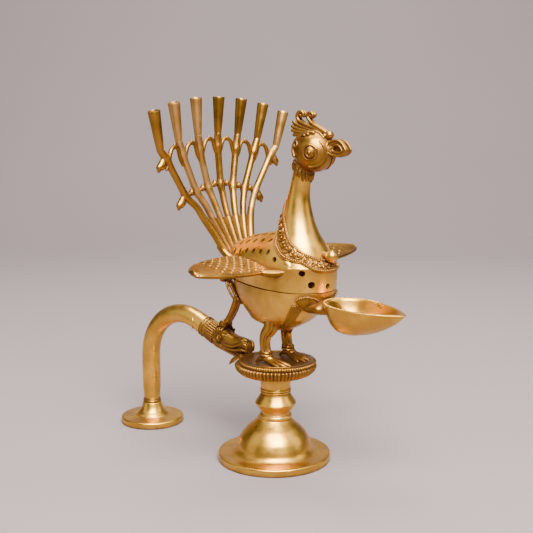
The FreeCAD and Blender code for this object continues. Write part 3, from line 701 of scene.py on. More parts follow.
def make_handle():
    foot = Shape()
    lathe(foot, [
        (0, 0), (20.9, 0), (21.6, 0.5), (21.6, 3.8), (20.8, 4.5), (15, 4.7), (11.2, 5.2),
        (10.6, 6.4), (8.6, 8.2), (7.4, 10.6), (6.7, 13), (6.4, 14.1), (0, 14.1),
    ], centre=(FOOT_X, 0), soft=0.9)
    piece("handle_footplate", foot, STAND, "brass_polished", ["handle_foot"])
    collar = Shape()
    lathe(collar, [
        (0, 13.9), (5.6, 13.9), (6.2, 14.4), (6.2, 15.5), (5.6, 16), (5.9, 16.4), (5.9, 17),
        (5.3, 17.3), (0, 17.3),
    ], centre=(FOOT_X, 0), sides=64, soft=0.3)
    piece("handle_rings", collar, STAND, "brass_cast", ["handle_collar"])

    arm = Shape()
    spots = [(FOOT_X, 0, 16, 5.35), (FOOT_X, 0, 19, 5.6), (FOOT_X, 0, 24, 6.0),
             (FOOT_X, 0, 32, 6.2)]
    spots += [(x, 0, z, 6.2) for x, z in arc(*BEND, 33, 180, 69, 9)]
    spots += [(-61.5, 0, 76.6, 6.3), (-56, 0, 74.5, 6.3), (-51, 0, 72.6, 6.1)]
    tube(arm, spots, sides=40, per=6)
    # a ridge along each flank of the arch, fine at both ends
    ridge = [(x, z, 0.55) for x, z in arc(*BEND, 30.2, 150, 92, 8)]
    ridge[0] = (*ridge[0][:2], 0.25)
    ridge.append((BEND[0] + 4, 77.4, 0.25))
    tube(arm, [(x, 5.0, z, radius) for x, z, radius in ridge], sides=10)
    far = [5.0] * (len(ridge) - 1) + [4.6]
    tube(arm, [(x, -y, z, radius) for (x, z, radius), y in zip(ridge, far)], sides=10)
    pair(arm, [(-68.3, 2.2, 84.2, 0.4), (-65.4, 5.4, 80.6, 0.55), (-64.6, 6.1, 77.6, 0.5),
               (-66.2, 5.4, 73.4, 0.3)], sides=10)
    piece("handle_bar", arm, STAND, "brass_polished", ["handle_arm"])

    # the ruff stands square to the bar, which falls towards the beast's head
    ruff = Shape()
    along = np.array((cos(FALL), 0, -sin(FALL)))
    lift = np.array((sin(FALL), 0, cos(FALL)))
    for x, radius in ((-58.6, 0.55), (-56.8, 0.6)):
        middle = np.array((x, 0, 75.5 - (x + 58.6) * tan(FALL)))
        hoop(ruff, middle, 6.35 * lift, (0, 6.35, 0), radius, 28, 10, 3, tuple(along))
    start = np.array((-55.6, 0, 74.4))
    for a in circle(24):
        out = cos(a) * lift + sin(a) * np.array((0, 1, 0))
        flare = start + along * 7.6 + out * (6.0 + 0.4 * cos(2 * a))
        tube(ruff, [(*(start + out * 5.9), 0.65), (*(start + along * 3.6 + out * 6.1), 0.85),
                    (*flare, 0.95)], sides=10, per=4, up=tuple(out))
    piece("handle_ruff", ruff, STAND, "brass_cast", ["handle_ferrule"])


def make_makara():
    """The beast's head that ends the handle and grips the platform's rim."""
    head = Shape()
    tube(head, [(-52, 0, 73.0, 6.1), (-46, 0, 71.4, 6.0), (-40, 0, 69.6, 5.6), (-33, 0, 67.4, 4.7),
                (-27, 0, 65.6, 3.6)], sides=36, flat=0.95)
    # upper jaw: a broad lip that rises over the plate's edge
    tube(head, [(-43, 0, 73.0, 4.4), (-37, 0, 70.4, 4.6), (-32, 0, 69.0, 4.5), (-27, 0, 69.0, 4.1),
                (-23.4, 0, 68.6, 3.6), (-21.4, 0, 66.0, 2.6), (-20.8, 0, 64.4, 2.0)], sides=32,
         flat=1.2)
    # lower jaw, under the plate
    tube(head, [(-46, 0, 68.0, 4.8), (-38, 0, 65.4, 4.3), (-31, 0, 62.6, 3.2),
                (-26.4, 0, 61.4, 2.2)], sides=28, flat=1.15)
    # lips, gums and jaw lines
    pair(head, [(-41, 4.9, 68.6, 0.7), (-35, 5.3, 67.2, 0.9), (-29.5, 5.1, 67.6, 1.0),
                (-24.5, 4.7, 69.6, 1.1), (-21.4, 3.6, 69.6, 1.25), (-20.0, 2.9, 67.2, 1.2),
                (-20.4, 3.0, 65.0, 0.9)], sides=12)
    pair(head, [(-41, 5.0, 66.9, 0.55), (-34, 5.2, 65.2, 0.8), (-28.5, 4.8, 65.2, 0.85),
                (-24.0, 4.4, 66.0, 0.85), (-21.4, 3.6, 65.4, 0.6)], sides=12)
    pair(head, [(-47, 5.5, 69.5, 0.5), (-40, 5.2, 66.0, 0.8), (-32, 4.2, 62.2, 0.7),
                (-26.8, 3.0, 60.4, 0.5)], sides=12)
    # tusks, curling down and back under the rim
    pair(head, [(-24.6, 3.8, 61.6, 0.8), (-28, 4.6, 60.0, 1.4), (-31.0, 4.8, 57.6, 1.2),
                (-33.6, 4.6, 55.2, 0.3)], sides=14)
    for side in SIDES:
        # eye roundel with its boss and a collar of short leaves
        outward = (0, side, 0)
        eye = np.array((-41.6, side * 5.9, 71.2))
        ball(head, eye, (2.4, 2.4, 1.5), along=outward, rows=12, cols=24)
        ball(head, eye + (0, side * 1.3, 0), (1.15, 1.15, 0.9), along=outward)
        hoop(head, eye + (0, side * 0.9, 0), (2.0, 0, 0), (0, 0, 2.0), 0.4)
        root = np.array((-42.0, side * 4.6, 73.2))
        for lean, length in ((28, 6.4), (58, 5.4), (0, 5.4), (88, 4.6), (122, 4.4), (156, 4.2)):
            a = radians(lean)
            tip = root + np.array((cos(a), 0, sin(a))) * length + (0, -side * 0.5, 0)
            tube(head, [(*root, 1.0), (*((root + tip) / 2 + (0, side * 0.9, 0)), 1.3),
                        (*tip, 0.35)], sides=12, flat=0.8)
    piece("makara_mask", head, STAND, "brass_cast", ["makara_head"])


def make_strut():
    """Three ribs from the handle up to the bowl, and the rosette that pins them."""
    strut = Shape()
    foot = np.array((-42.4, 0, 77.4))
    top = np.array((-29.6, 0, 99.0))
    for y in (-2.1, 0.0, 2.1):
        spots = []
        for t in np.linspace(0, 1, 7):
            bow = sin(pi * t)
            spot = foot + (top - foot) * t + np.array((1.3 * bow, y, -0.8 * bow))
            spots.append((*spot, 1.75 if y == 0 else 1.5))
        tube(strut, spots, sides=18)
    for x, z in ((-44.6, 78.4), (-40.6, 81.6)):
        tube(strut, [(x, -2.8, z, 0.9), (x, 0, z + 0.4, 1.1), (x, 2.8, z, 0.9)], sides=12,
             up=UP_X)
    pair(strut, [(-31.0, 2.7, 97.2, 0.7), (-34.0, 2.9, 101, 0.75), (-36.2, 3.0, 104.6, 0.75),
                 (-37.6, 3.0, 107.4, 0.5)], sides=12)
    piece("strut_bar", strut, STAND, "brass_cast", ["tail_strut"])

    rivet = Shape()
    for side in SIDES:
        middle = np.array((-40.7, side * 2.7, 79.8))
        ball(rivet, middle, (2.6, 2.6, 1.4), along=(0, side, 0), rows=12, cols=24)
        hoop(rivet, middle + (0, side * 0.7, 0), (2.2, 0, 0), (0, 0, 2.2), 0.45)
        ball(rivet, middle + (0, side * 1.2, 0), (1.1, 1.1, 0.8), along=(0, side, 0))
    piece("strut_rosette", rivet, STAND, "brass_cast", ["strut_rivet"])


# ------------------------------------------------------------------------- legs

def make_legs():
    floor = DISC_Z - 0.7
    for name, side in (("left", 1), ("right", -1)):
        leg = Shape()
        spots = [(4.6, side * 7.6, 88.0, 5.2), (4.2, side * 8.4, 84.6, 4.8),
                 (1.8, side * 9.6, 80.6, 3.9), (1.2, side * 10.2, 76.5, 3.5),
                 (1.8, side * 10.3, 72.0, 3.4), (2.6, side * 10.4, 69.2, 3.5)]
        tube(leg, spots, sides=48, flutes=7, depth=0.24, flat=0.95)
        for z, radius in ((70.4, 0.75), (68.6, 0.95)):
            hoop(leg, (2.4, side * 10.4, z), (3.4, 0, -0.35), (0, 3.3, 0), radius, 20, 10, 3,
                 UP_Z)
        ball(leg, (4.2, side * 10.5, 66.4), (4.4, 3.4, 2.6), rows=12, cols=24)
        for spread, length, thick in ((-3.9, 12.5, 1.45), (-1.3, 15, 1.6), (1.3, 15, 1.6),
                                      (3.9, 12.5, 1.45)):
            ahead = level_way(spread * 4.2 - side * 6)
            root = np.array((3.6, side * 10.4 + spread * 0.35, 66.4))
            middle = root + ahead * length * 0.45 + (0, 0, -1.2)
            joint = root + ahead * length * 0.75 + (0, 0, -2.2)
            tip = root + ahead * length + (0, 0, floor - 66.4 + 0.5)
            tube(leg, [(*root, thick + 0.5), (*middle, thick + 0.15), (*joint, thick),
                       (*tip, 0.55)], sides=14, up=UP_Z, flat=0.9)
        tube(leg, [(2.6, side * 10.4, 66.6, 1.6), (-1.6, side * 10.9, 65.4, 1.5),
                   (-4.8, side * 11.4, floor + 0.5, 0.6)], sides=14, up=UP_Z)
        piece("leg_" + name + "_cast", leg, STAND, "brass_cast", ["leg_" + name])


# ------------------------------------------------------------------ bowl and spoon

def on_bowl(levels, turn, z, lift):
    """A point that stands a little off the bowl's outside, with turn in degrees."""
    spot = bowl_point(levels, turn, z)
    beside = bowl_point(levels, turn + 2, z) - spot
    above = bowl_point(levels, turn, z + 0.5) - spot
    return spot + unit(np.cross(beside, above)) * lift


LEAF_TOP = [(0, 104.8), (14, 105.4), (26, 107.6), (40, 109.2), (52, 108.8), (61, 107.0)]
LEAF_FOOT = [(0, 96.8), (14, 97.5), (33, 99.7), (44, 100.9), (52, 102.4), (61, 106.2)]


def make_leaf(shape, levels):
    """The lobed leaf that clasps the spoon's root, laid on the breast."""
    top = spline(LEAF_TOP, 8)
    foot = spline(LEAF_FOOT, 8)
    rows = []
    for turn in np.linspace(-60, 60, 61):
        high = np.interp(abs(turn), top[:, 0], top[:, 1])
        low = np.interp(abs(turn), foot[:, 0], foot[:, 1])
        swell = 0.9 + 2.4 * (1 - abs(turn) / 60) ** 2
        lobes = 0.25 * sin(radians(turn * 24))
        row = [on_bowl(levels, turn, low, -0.8)]
        for share in np.linspace(0, 1, 9):
            lift = swell * sin(pi * share) ** 0.5 * (1 + lobes * share)
            row.append(on_bowl(levels, turn, low + (high - low) * share, lift))
        row.append(on_bowl(levels, turn, high, -0.8))
        rows.append(np.array(row))
    shape.rings(rows)
    for side in SIDES:
        edge = [on_bowl(levels, side * turn, z - 0.4, 1.2) for turn, z in top if turn > 20]
        beads(shape, edge, 0.55, 1.1)
        edge = [on_bowl(levels, side * turn, z + 0.3, 0.7) for turn, z in foot if 6 < turn < 56]
        tube(shape, [(*spot, 0.5) for spot in edge[::3]], sides=8, per=3)
    tube(shape, [(33.0, 0, 101.4, 4.6), (37.6, 0, 101.5, 4.5), (41.6, 0, 101.0, 4.3),
                 (44.4, 0, 100.0, 3.2)], sides=40, flat=2.7)


def make_hollows():
    bowl, levels = make_bowl()
    piece("bowl_shell", bowl, STAND, "brass_polished", ["body_bowl"])

    trim = Shape()
    for side in SIDES:
        # a hatched band, from the leaf at the spoon's root down to the legs
        run = spline([(52, 102.6), (53.5, 98.5), (55, 94.6), (58, 90.8), (63, 87.0)], 16)
        lines = []
        for shift, radius in ((-9.5, 0.6), (-6.4, 0.4), (6.4, 0.4), (9.5, 0.6)):
            spots = [on_bowl(levels, side * (turn + shift), z, 0.25) for turn, z in run]
            lines.append(spots)
            tube(trim, [(*spot, radius) for spot in spots[::3]], sides=8, per=4)
        for index in range(0, len(run) - 3, 2):
            for first, second in ((lines[1], lines[2]), (lines[2], lines[1])):
                ends = ((*first[index], 0.42), (*((first[index] + second[index + 3]) / 2), 0.5),
                        (*second[index + 3], 0.42))
                tube(trim, ends, sides=6, per=2)
    make_leaf(trim, levels)
    piece("bowl_ornament", trim, STAND, "brass_cast")

    # two knuckles on the pin, and the strap that runs from them down the bowl's rear
    strap = Shape()
    for side in SIDES:
        tube(strap, [(HINGE_X, side * y, HINGE_Z, radius) for y, radius in
                     ((1.7, 2.0), (2.1, 2.2), (3.8, 2.2), (4.1, 2.0))],
             sides=28, up=UP_Z, smooth=False)
    tube(strap, [(-38.6, 0, 107.6, 1.3), (-36.6, 0, 106.2, 1.3), (-34.2, 0, 104.6, 1.2),
                 (-32.2, 0, 102.6, 1.0)], sides=24, flat=2.2)
    tube(strap, [(-33.9, 0, 106.6, 0.8), (-32.5, 0, 103.8, 0.8), (-30.2, 0, 100.4, 0.8),
                 (-27.2, 0, 97.4, 0.75), (-24.4, 0, 95.0, 0.6)], sides=28, flat=3.8)
    for y in (-2.5, 0, 2.5):
        tube(strap, [(-34.5, y, 106.4, 0.35), (-33.1, y, 103.6, 0.5), (-30.9, y, 100.0, 0.5),
                     (-27.8, y, 97.0, 0.45), (-25.2, y * 0.7, 94.8, 0.3)], sides=10)
    piece("hinge_strap", strap, STAND, "brass_cast", ["hinge_leaf_bowl"])


def spoon_rows(turn, wall):
    """The spoon's outlines from its keel to its rim, a wall further in."""
    rows = []
    depth = SPOON_DEPTH - wall
    table = [(1.0, 30, 18, 13, 0.26), (0.95, 26, 17.4, 10.5, 0.44), (0.84, 20.5, 17, 8.2, 0.62),
             (0.62, 13.0, 17.5, 4.7, 0.79), (0.32, 5.5, 18.5, 2, 0.92), (0.0, 0, 19, 0, 1.0)]
    for fall, reach, middle, back, wide in spline(table, 5):
        front = SPOON_ROOT + back + wall
        tip = SPOON_TIP - reach - 2.2 * wall
        half = SPOON_HALF * wide - wall
        z = SPOON_RIM - depth * max(fall, 0)
        along = np.cos(turn)
        spread = np.abs(np.sin(turn))
        sign = np.sign(np.sin(turn))
        point = spread ** 1.75 * 0.85 + spread * 0.15
        centre = SPOON_ROOT + middle
        x = centre + along * np.where(along > 0, tip - centre, centre - front)
        y = half * sign * np.where(along > 0, point, spread)
        rows.append(np.stack([x, y, np.full(len(turn), z)], axis=1))
    return rows


def drooped(point):
    """Tips the spoon down about its root."""
    x = point[0] - SPOON_ROOT
    z = point[2] - SPOON_RIM
    return np.array((SPOON_ROOT + x * cos(SPOON_DROOP) + z * sin(SPOON_DROOP), point[1],
                     SPOON_RIM - x * sin(SPOON_DROOP) + z * cos(SPOON_DROOP)))


def make_spoon():
    turn = circle(144)
    outer = spoon_rows(turn, 0.0)
    keel = outer[0][0, 2]
    cup = [row for row in spoon_rows(turn, SPOON_WALL) if row[0, 2] > keel + 1.4][::-1]
    outer = closed_under(outer, outer[0].mean(axis=0), ((0.3, 0.75), (0.65, 0.6), (0.88, 0.3)))
    spoon = Shape()
    rim = outer[-1]
    spoon.rings(rim_curl(outer, cup, 0.35))
    # beading along the rear of the rim
    behind = [p for p in rim if p[0] < SPOON_ROOT + 24]
    for side in SIDES:
        half = sorted([p for p in behind if p[1] * side > 0.4], key=lambda p: p[0])
        path = [np.array((p[0] + 0.5, p[1] - side * 0.7, SPOON_RIM + 0.25)) for p in half]
        beads(spoon, path, 0.72, 1.35)
    spoon.points = [drooped(point) for point in spoon.points]
    piece("spoon_leaf", spoon, STAND, "brass_polished", ["oil_spoon"])


# ---------------------------------------------------------- lid, neck, necklace

def make_lid_and_neck():
    lid_mesh = make_lid()
    neck_mesh = make_neck().mesh("neck_skin")
    skin = Skin(lid_mesh, neck_mesh)
    piece("lid_shell", None, LID, "brass_polished", ["body_lid"], crease=50, data=lid_mesh)
    piece("neck_skin", None, LID, "brass_polished", ["neck"], data=neck_mesh)
    return skin


INNER_CORD = [(0, 129.0), (15, 129.6), (30, 131.0), (48, 133.2), (63, 136.6), (78, 140.4),
              (90, 145.2), (102, 149.6), (120, 154.0), (142, 159.2), (165, 162.6), (180, 163.4)]
OUTER_CORD = [(0, 122.6), (18, 122.8), (32, 123.8), (44, 125.8), (54, 127.6), (66, 128.3),
              (85, 129.6), (97, 131.8), (110, 135.2), (125, 139.0), (145, 142.6), (180, 145.4)]


SCROLL = 4.3


def make_necklace(skin):
    lace = Shape()
    turns = np.arange(-180, 180, 3.0)
    cords = [spline(INNER_CORD, 6), spline(OUTER_CORD, 6)]

    def across(turn, share, lift):
        """A point of the necklace, from its inner edge (0) to its outer edge (1)."""
        high, low = (np.interp(abs(turn), cord[:, 0], cord[:, 1]) for cord in cords)
        spot, normal = skin.round_neck(turn, high + (low - high) * share)
        return spot + normal * lift, normal

    section = ((0.0, -0.6), (0.0, 0.35), (0.12, 0.55), (0.5, 0.75), (0.88, 0.55), (1.0, 0.35),
               (1.0, -0.6))
    lace.rings([[across(turn, *place)[0] for place in section] for turn in turns], loop=True)
    for share, radius in ((0.0, 0.42), (0.17, 0.36), (0.84, 0.36), (1.0, 0.45)):
        tube(lace, [(*across(turn, share, 0.55)[0], radius) for turn in turns[::2]],
             sides=8, per=4, closed=True)
    fine = np.arange(-180, 180.5, 1.5)
    for share, size in ((0.085, 0.72), (0.925, 0.8)):
        path = [across(turn, share, 0.55)[0] for turn in fine]
        beads(lace, path, (size, size, size * 1.15), size * 1.75)
    # scrolls: a curl and a leaf, over and over, in the field between the cords
    middle_path = [across(turn, 0.5, 0.6) for turn in fine]
    reach = mark = 0.0
    flip = 1
    for (spot, normal), (ahead_spot, _), turn in zip(middle_path, middle_path[1:], fine):
        reach += np.linalg.norm(ahead_spot - spot)
        if reach < mark:
            continue
        mark += SCROLL
        flip = -flip
        along = unit(ahead_spot - spot)
        lift = unit(np.cross(normal, along)) * flip
        width = np.linalg.norm(across(turn, 0.2, 0)[0] - across(turn, 0.8, 0)[0])
        big = min(width * 0.42, 2.7)
        curl = []
        for step in range(9):
            a = radians(-100 + 48 * step)
            radius = big * (1 - 0.085 * step)
            point = spot + along * radius * cos(a) * 0.8 + lift * radius * sin(a)
            seat, _ = skin.nearest(point)
            curl.append((*(seat + normal * 0.95), 0.62 - 0.03 * step))
        tube(lace, curl, sides=8, per=3, up=tuple(normal))
        ball(lace, spot + normal * 0.9, (0.8, 0.8, 0.6), along=normal, rows=8, cols=12)
        leaf = spot + along * 2.1 + lift * big * 0.35 + normal * 0.7
        ball(lace, leaf, (0.75, 1.7, 0.5), along=normal, side=along, rows=8, cols=12)
    piece("necklace_band", lace, LID, "brass_cast", ["necklace"])


def make_knob():
    knob = Shape()
    ball(knob, (43.2, 0, 131.2), 3.8, rows=20, cols=32)
    tube(knob, [(34.6, 0, 132.2, 1.9), (38.6, 0, 131.7, 1.9), (42, 0, 131.3, 1.9)], sides=20)
    piece("breast_knob", knob, LID, "brass_polished", ["chest_knob"])


RUFF_LEAVES = 15
RUFF_SLOPE = 3.6


def make_ruff(skin):
    """Short pointed leaves that hang from a cord under the head."""
    ruff = Shape()
    for step in range(RUFF_LEAVES):
        turn = 360 * step / RUFF_LEAVES
        out = level_way(turn)
        slope = RUFF_SLOPE * out[0]
        top, _ = skin.round_neck(turn, 182.0 - slope)
        low, _ = skin.round_neck(turn, 178.6 - slope)
        long = 0.9 if step % 2 else 0.0
        tube(ruff, [(*(top - out * 0.3), 1.0), (*((top + low) / 2 + out * 0.1), 1.2),
                    (*(low + out * 0.2 - (0, 0, long)), 1.0),
                    (*(low - (0, 0, 1.2 + long)), 0.45)],
             sides=12, up=tuple(out), flat=0.7)
        vein = top + out * 0.5
        tube(ruff, [(*vein, 0.3), (*((top + low) / 2 + out * 1.05), 0.36),
                    (*(low + out * 1.0 - (0, 0, long)), 0.3)], sides=8, up=tuple(out))
    ring = []
    for turn in range(0, 360, 15):
        spot, _ = skin.round_neck(turn, 182.4 - RUFF_SLOPE * level_way(turn)[0])
        ring.append((*spot, 0.8))
    tube(ruff, ring, sides=10, per=3, up=UP_Z, closed=True)
    piece("ruff_leaves", ruff, LID, "brass_cast", ["neck_ruff"])


# ------------------------------------------------------------------------- head

def eye_axes(eye):
    """Two directions square to the eye's own, level and upward."""
    third = unit(np.cross(eye, UP_Z))
    return third, np.cross(third, eye)


def around_eye(eye, span, start, stop, lift, count=24):
    """Points on the head round the eye, span degrees from its centre."""
    third, high = eye_axes(eye)
    spots = []
    for a in np.radians(np.linspace(start, stop, count)):
        wide = radians(span)
        out = eye * cos(wide) + (third * cos(a) + high * sin(a)) * sin(wide)
        spots.append(HEAD + out * (HEAD_R - 0.2 + lift))
    return spots


def make_head():
    head = Shape()
    ball(head, HEAD, (HEAD_R - 0.2, HEAD_R - 0.5, HEAD_R - 0.1), rows=40, cols=64)
    tube(head, [(23.5, 0, 182.5, 6.2), (24.5, 0, 184.5, 7.4), (27, 0, 188, 8.6)], sides=40)
    for side in SIDES:
        eye = unit((0.4, side * 0.9, -0.03))
        ring = around_eye(eye, 20, 0, 360, 0.25, 37)[:-1]
        tube(head, [(*s, 0.55) for s in ring], sides=10, per=3, up=tuple(eye), closed=True)
        middle = HEAD + eye * (HEAD_R - 0.5)
        ball(head, middle, (3.5, 3.1, 2.3), along=eye, side=UP_Z, rows=18, cols=32)
        ball(head, middle + eye * 1.9, (1.2, 1.15, 1.1), along=eye, side=UP_Z, rows=12,
             cols=20)
        third, high = eye_axes(eye)
        hoop(head, middle + eye * 1.75, third * 2.1, high * 2.1, 0.32, 20, up=tuple(eye))
        # cheek ridges and the hatched band under the chin
        for span, start, stop, radius in ((42, -100, 48, 0.7), (56, -84, 6, 0.6)):
            if side < 0:
                start, stop = 180 - start, 180 - stop
            sweep = around_eye(eye, span, start, stop, 0.2)
            tube(head, [(*s, radius) for s in sweep], sides=8, per=2, up=tuple(eye))
        for a in range(-84, 0, 6):
            angle = a if side > 0 else 180 - a
            pair = [around_eye(eye, span, angle, angle, 0.15, 1)[0] for span in (44, 49, 54)]
            tube(head, [(*s, 0.5) for s in pair], sides=6, per=2, up=tuple(eye))
        make_ear(head, side)
    # three cords over the top of the head and down its back
    for y, radius in ((-2.6, 0.5), (0, 0.7), (2.6, 0.5)):
        spots = []
        for a in np.radians(np.linspace(62, 196, 20)):
            wide = sqrt(HEAD_R ** 2 - y * y)
            spots.append((HEAD[0] + wide * cos(a), y, HEAD[2] + wide * sin(a), radius))
        tube(head, spots, sides=10, per=3)
    piece("head_cast", head, LID, "brass_cast", ["head"])


def on_head(x, z, side, lift=0.3):
    """The point of the head at a side view's x and z."""
    deep = HEAD_R ** 2 - (x - HEAD[0]) ** 2 - (z - HEAD[2]) ** 2
    y = sqrt(max(deep, 2.0))
    spot = np.array((x, side * y, z))
    return HEAD + unit(spot - HEAD) * (HEAD_R + lift)


def make_ear(head, side):
    """S-shaped feathers behind the eye, with a curled tip."""
    for shift, radius, drop in ((0.0, 1.1, 0.0), (2.2, 0.85, -0.8), (4.2, 0.7, -1.4)):
        sweep = [(33.5 - shift, 201.4 + drop), (28.6 - shift, 201.2 + drop),
                 (24.6 - shift * 0.6, 198.8),
                 (22.2 - shift * 0.4, 195.2), (21.6 - shift * 0.3, 191.6),
                 (23.0 - shift * 0.5, 188.6)]
        tube(head, [(*on_head(x, z, side), radius) for x, z in sweep], sides=10, per=5)
    curl = []
    for step in range(8):
        a = radians(200 - 55 * step)
        radius = 2.3 * (1 - 0.09 * step)
        spot = on_head(24.8 + radius * cos(a), 194.6 + radius * sin(a), side, 0.5)
        curl.append((*spot, 0.7 - 0.04 * step))
    tube(head, curl, sides=10, per=4)


def almond(shape, tip_x, root_x, high, low, middle_z, y, radius, sides=10, flat=1.0):
    """A leaf-shaped loop in the bird's plane, pointed at its front."""
    spots = []
    for a in circle(26):
        along = cos(a)
        wide = sin(a)
        x = (tip_x + root_x) / 2 + (tip_x - root_x) / 2 * along
        reach = high if wide > 0 else low
        lean = abs(wide) ** (1.35 if along > 0 else 0.8)
        z = middle_z + reach * copysign(lean, wide) - 0.9 * max(along, 0)
        spots.append((x, y, z, radius))
    tube(shape, spots, sides=sides, per=4, flat=flat, closed=True)


def make_beak():
    beak = Shape()
    almond(beak, 52.4, 42.0, 3.5, 3.0, 192.9, 0, 1.9, sides=20, flat=1.45)
    for y in (-2.7, 2.7):
        almond(beak, 53.8, 40.8, 4.7, 3.9, 192.9, y, 0.65)
        almond(beak, 51.4, 44.6, 2.3, 2.0, 192.8, y * 1.05, 0.55)
    ball(beak, (47.4, 0, 192.8), (5.6, 1.0, 3.2), rows=14, cols=24)
    tube(beak, [(38.5, 0, 192.6, 4.4), (41.2, 0, 192.8, 3.9), (42.6, 0, 193, 2.8)], sides=28)
    hoop(beak, (41.4, 0, 192.6), (0, 4.1, 0), (0, 0, 4.6), 0.6, 22, 10, 3, UP_X)
    piece("beak_ring", beak, LID, "brass_cast", ["beak"])
    cere = Shape()
    ball(cere, (40.6, 0, 200.3), 2.6, rows=20, cols=32)
    for y in (-2.3, 2.3):
        ball(cere, (38.9, y, 200.0), 1.3, rows=12, cols=20)
    piece("cere_pearl", cere, LID, "brass_cast", ["cere_bead"])


def make_crest():
    crest = Shape()
    strands = [
        # from the brow, up and back, as (x, z, radius)
        [(38.6, 202.6, 1.2), (34.4, 204.6, 1.25), (30.6, 206.4, 1.2), (27.6, 208.6, 1.1),
         (25.8, 211.0, 1.05), (26.4, 213.0, 1.05), (28.4, 213.5, 1.0), (29.6, 212.2, 0.9),
         (28.4, 211.0, 0.8)],
        [(36.8, 202.4, 1.1), (31.6, 204.4, 1.2), (26.4, 206.0, 1.15), (22.0, 207.6, 1.1),
         (18.8, 209.6, 1.1), (18.2, 212.2, 1.1), (20.0, 214.2, 1.05), (22.2, 213.7, 0.95),
         (22.4, 211.8, 0.85), (20.8, 211.6, 0.8)],
        [(35.6, 201.8, 1.1), (29.4, 203.6, 1.15), (23.0, 205.2, 1.1), (18.2, 206.8, 1.1),
         (15.6, 208.2, 1.15)],
        [(34.6, 201.4, 1.1), (27.8, 202.8, 1.15), (21.4, 203.8, 1.1), (17.2, 204.9, 1.1),
         (14.8, 205.8, 1.15)],
        [(33.2, 201.0, 1.1), (26.2, 202.0, 1.15), (20.0, 202.6, 1.1), (16.8, 203.0, 1.1),
         (14.9, 203.4, 1.15)],
        [(31.6, 200.4, 1.1), (25.0, 201.0, 1.15), (20.0, 201.0, 1.1), (17.4, 201.0, 1.1),
         (15.8, 200.9, 1.1)],
        [(29.6, 200.0, 1.1), (24.0, 199.9, 1.1), (20.0, 199.2, 1.0), (17.6, 198.0, 0.8),
         (16.6, 196.6, 0.5)],
    ]
    for index, strand in enumerate(strands):
        for y in (-1.05, 1.05):
            bow = 0.35 * sin(index * 2.1)
            spots = [(x, y * (1 + 0.25 * bow), z - 0.6, radius) for x, z, radius in strand]
            tube(crest, spots, sides=12, per=6, flat=1.1)
    for x, z, radius in ((20.4, 211.5, 1.2), (27.6, 211.2, 1.0)):
        ball(crest, (x, 0, z), (radius, radius, 2.0), along=(0, 1, 0), rows=12, cols=20)
    tube(crest, [(38.4, 0, 200.6, 2.0), (33, 0, 202.2, 2.6), (27, 0, 202.6, 2.6),
                 (21, 0, 202.2, 2.2), (17.4, 0, 201.2, 1.4)], sides=20, flat=0.8)
    for y in (-3.2, 3.2):
        band = []
        for x in np.linspace(38.8, 24.0, 8):
            z = HEAD[2] + sqrt(HEAD_R ** 2 - (x - HEAD[0]) ** 2 - y * y)
            band.append((x, y, z - 0.1, 0.75))
        tube(crest, band, sides=10, per=3)
    piece("crest_plumes", crest, LID, "brass_cast", ["crest"])


# ------------------------------------------------------------------------ wings

WING_ROOT = 19.0
WING_TIPS = {"left": 78.5, "right": 71.8}
WING_Z = 124.8
WING_PITCH = radians(13)
WING_RISE = 0.8
FEATHERED = 0.93
FEATHER_ROWS = 9


def wing_edges(reach, end):
    """Leading and trailing edge of a wing, in x, at a distance from the middle plane."""
    front = max(0.0, (reach - 33) / (end - 33))
    back = max(0.0, (reach - 30) / (end - 30))
    lead = 3.2 + 10.6 * max(0.0, 1 - front ** 1.6) ** 0.5
    trail = 3.2 - 18.4 * max(0.0, 1 - back ** 2) ** 0.5
    root = max(0.0, (28 - reach) / 9)
    return lead + 1.5 * root, trail + 1.0 * root


def wing_point(x, y, along, lift):
    """A point at a place on the wing's chord, a lift above its plane."""
    z = WING_Z - x * sin(WING_PITCH) + WING_RISE * along ** 2 + lift
    return x * cos(WING_PITCH), y, z


def feather(across, along):
    """Height of the feathers: bricked short ones near the body, long ones at the tip."""
    rim = min(across, 1 - across)
    if across > FEATHERED or along > 0.985:
        return 0.25
    row = across / FEATHERED * FEATHER_ROWS
    row_in = row % 1
    ridge = min(1.0, 2.8 * min(row_in, 1 - row_in)) ** 0.8
    brick_long = 0.085 + 0.05 * along
    brick_in = (along / brick_long + 0.5 * (int(row) % 2)) % 1
    end = min(1.0, min(brick_in, 1 - brick_in) * brick_long * 52 / 0.9)
    fade = max(0.0, min(1.0, (along - 0.66) / 0.1))
    plume = sin(pi * (row * 1.6 % 1)) ** 0.8
    body = ridge * (0.35 + 0.65 * end ** 0.7)
    edge = min(1.0, rim / 0.03)
    return (-0.8 + 0.95 * (body * (1 - fade) + plume * fade)) * edge


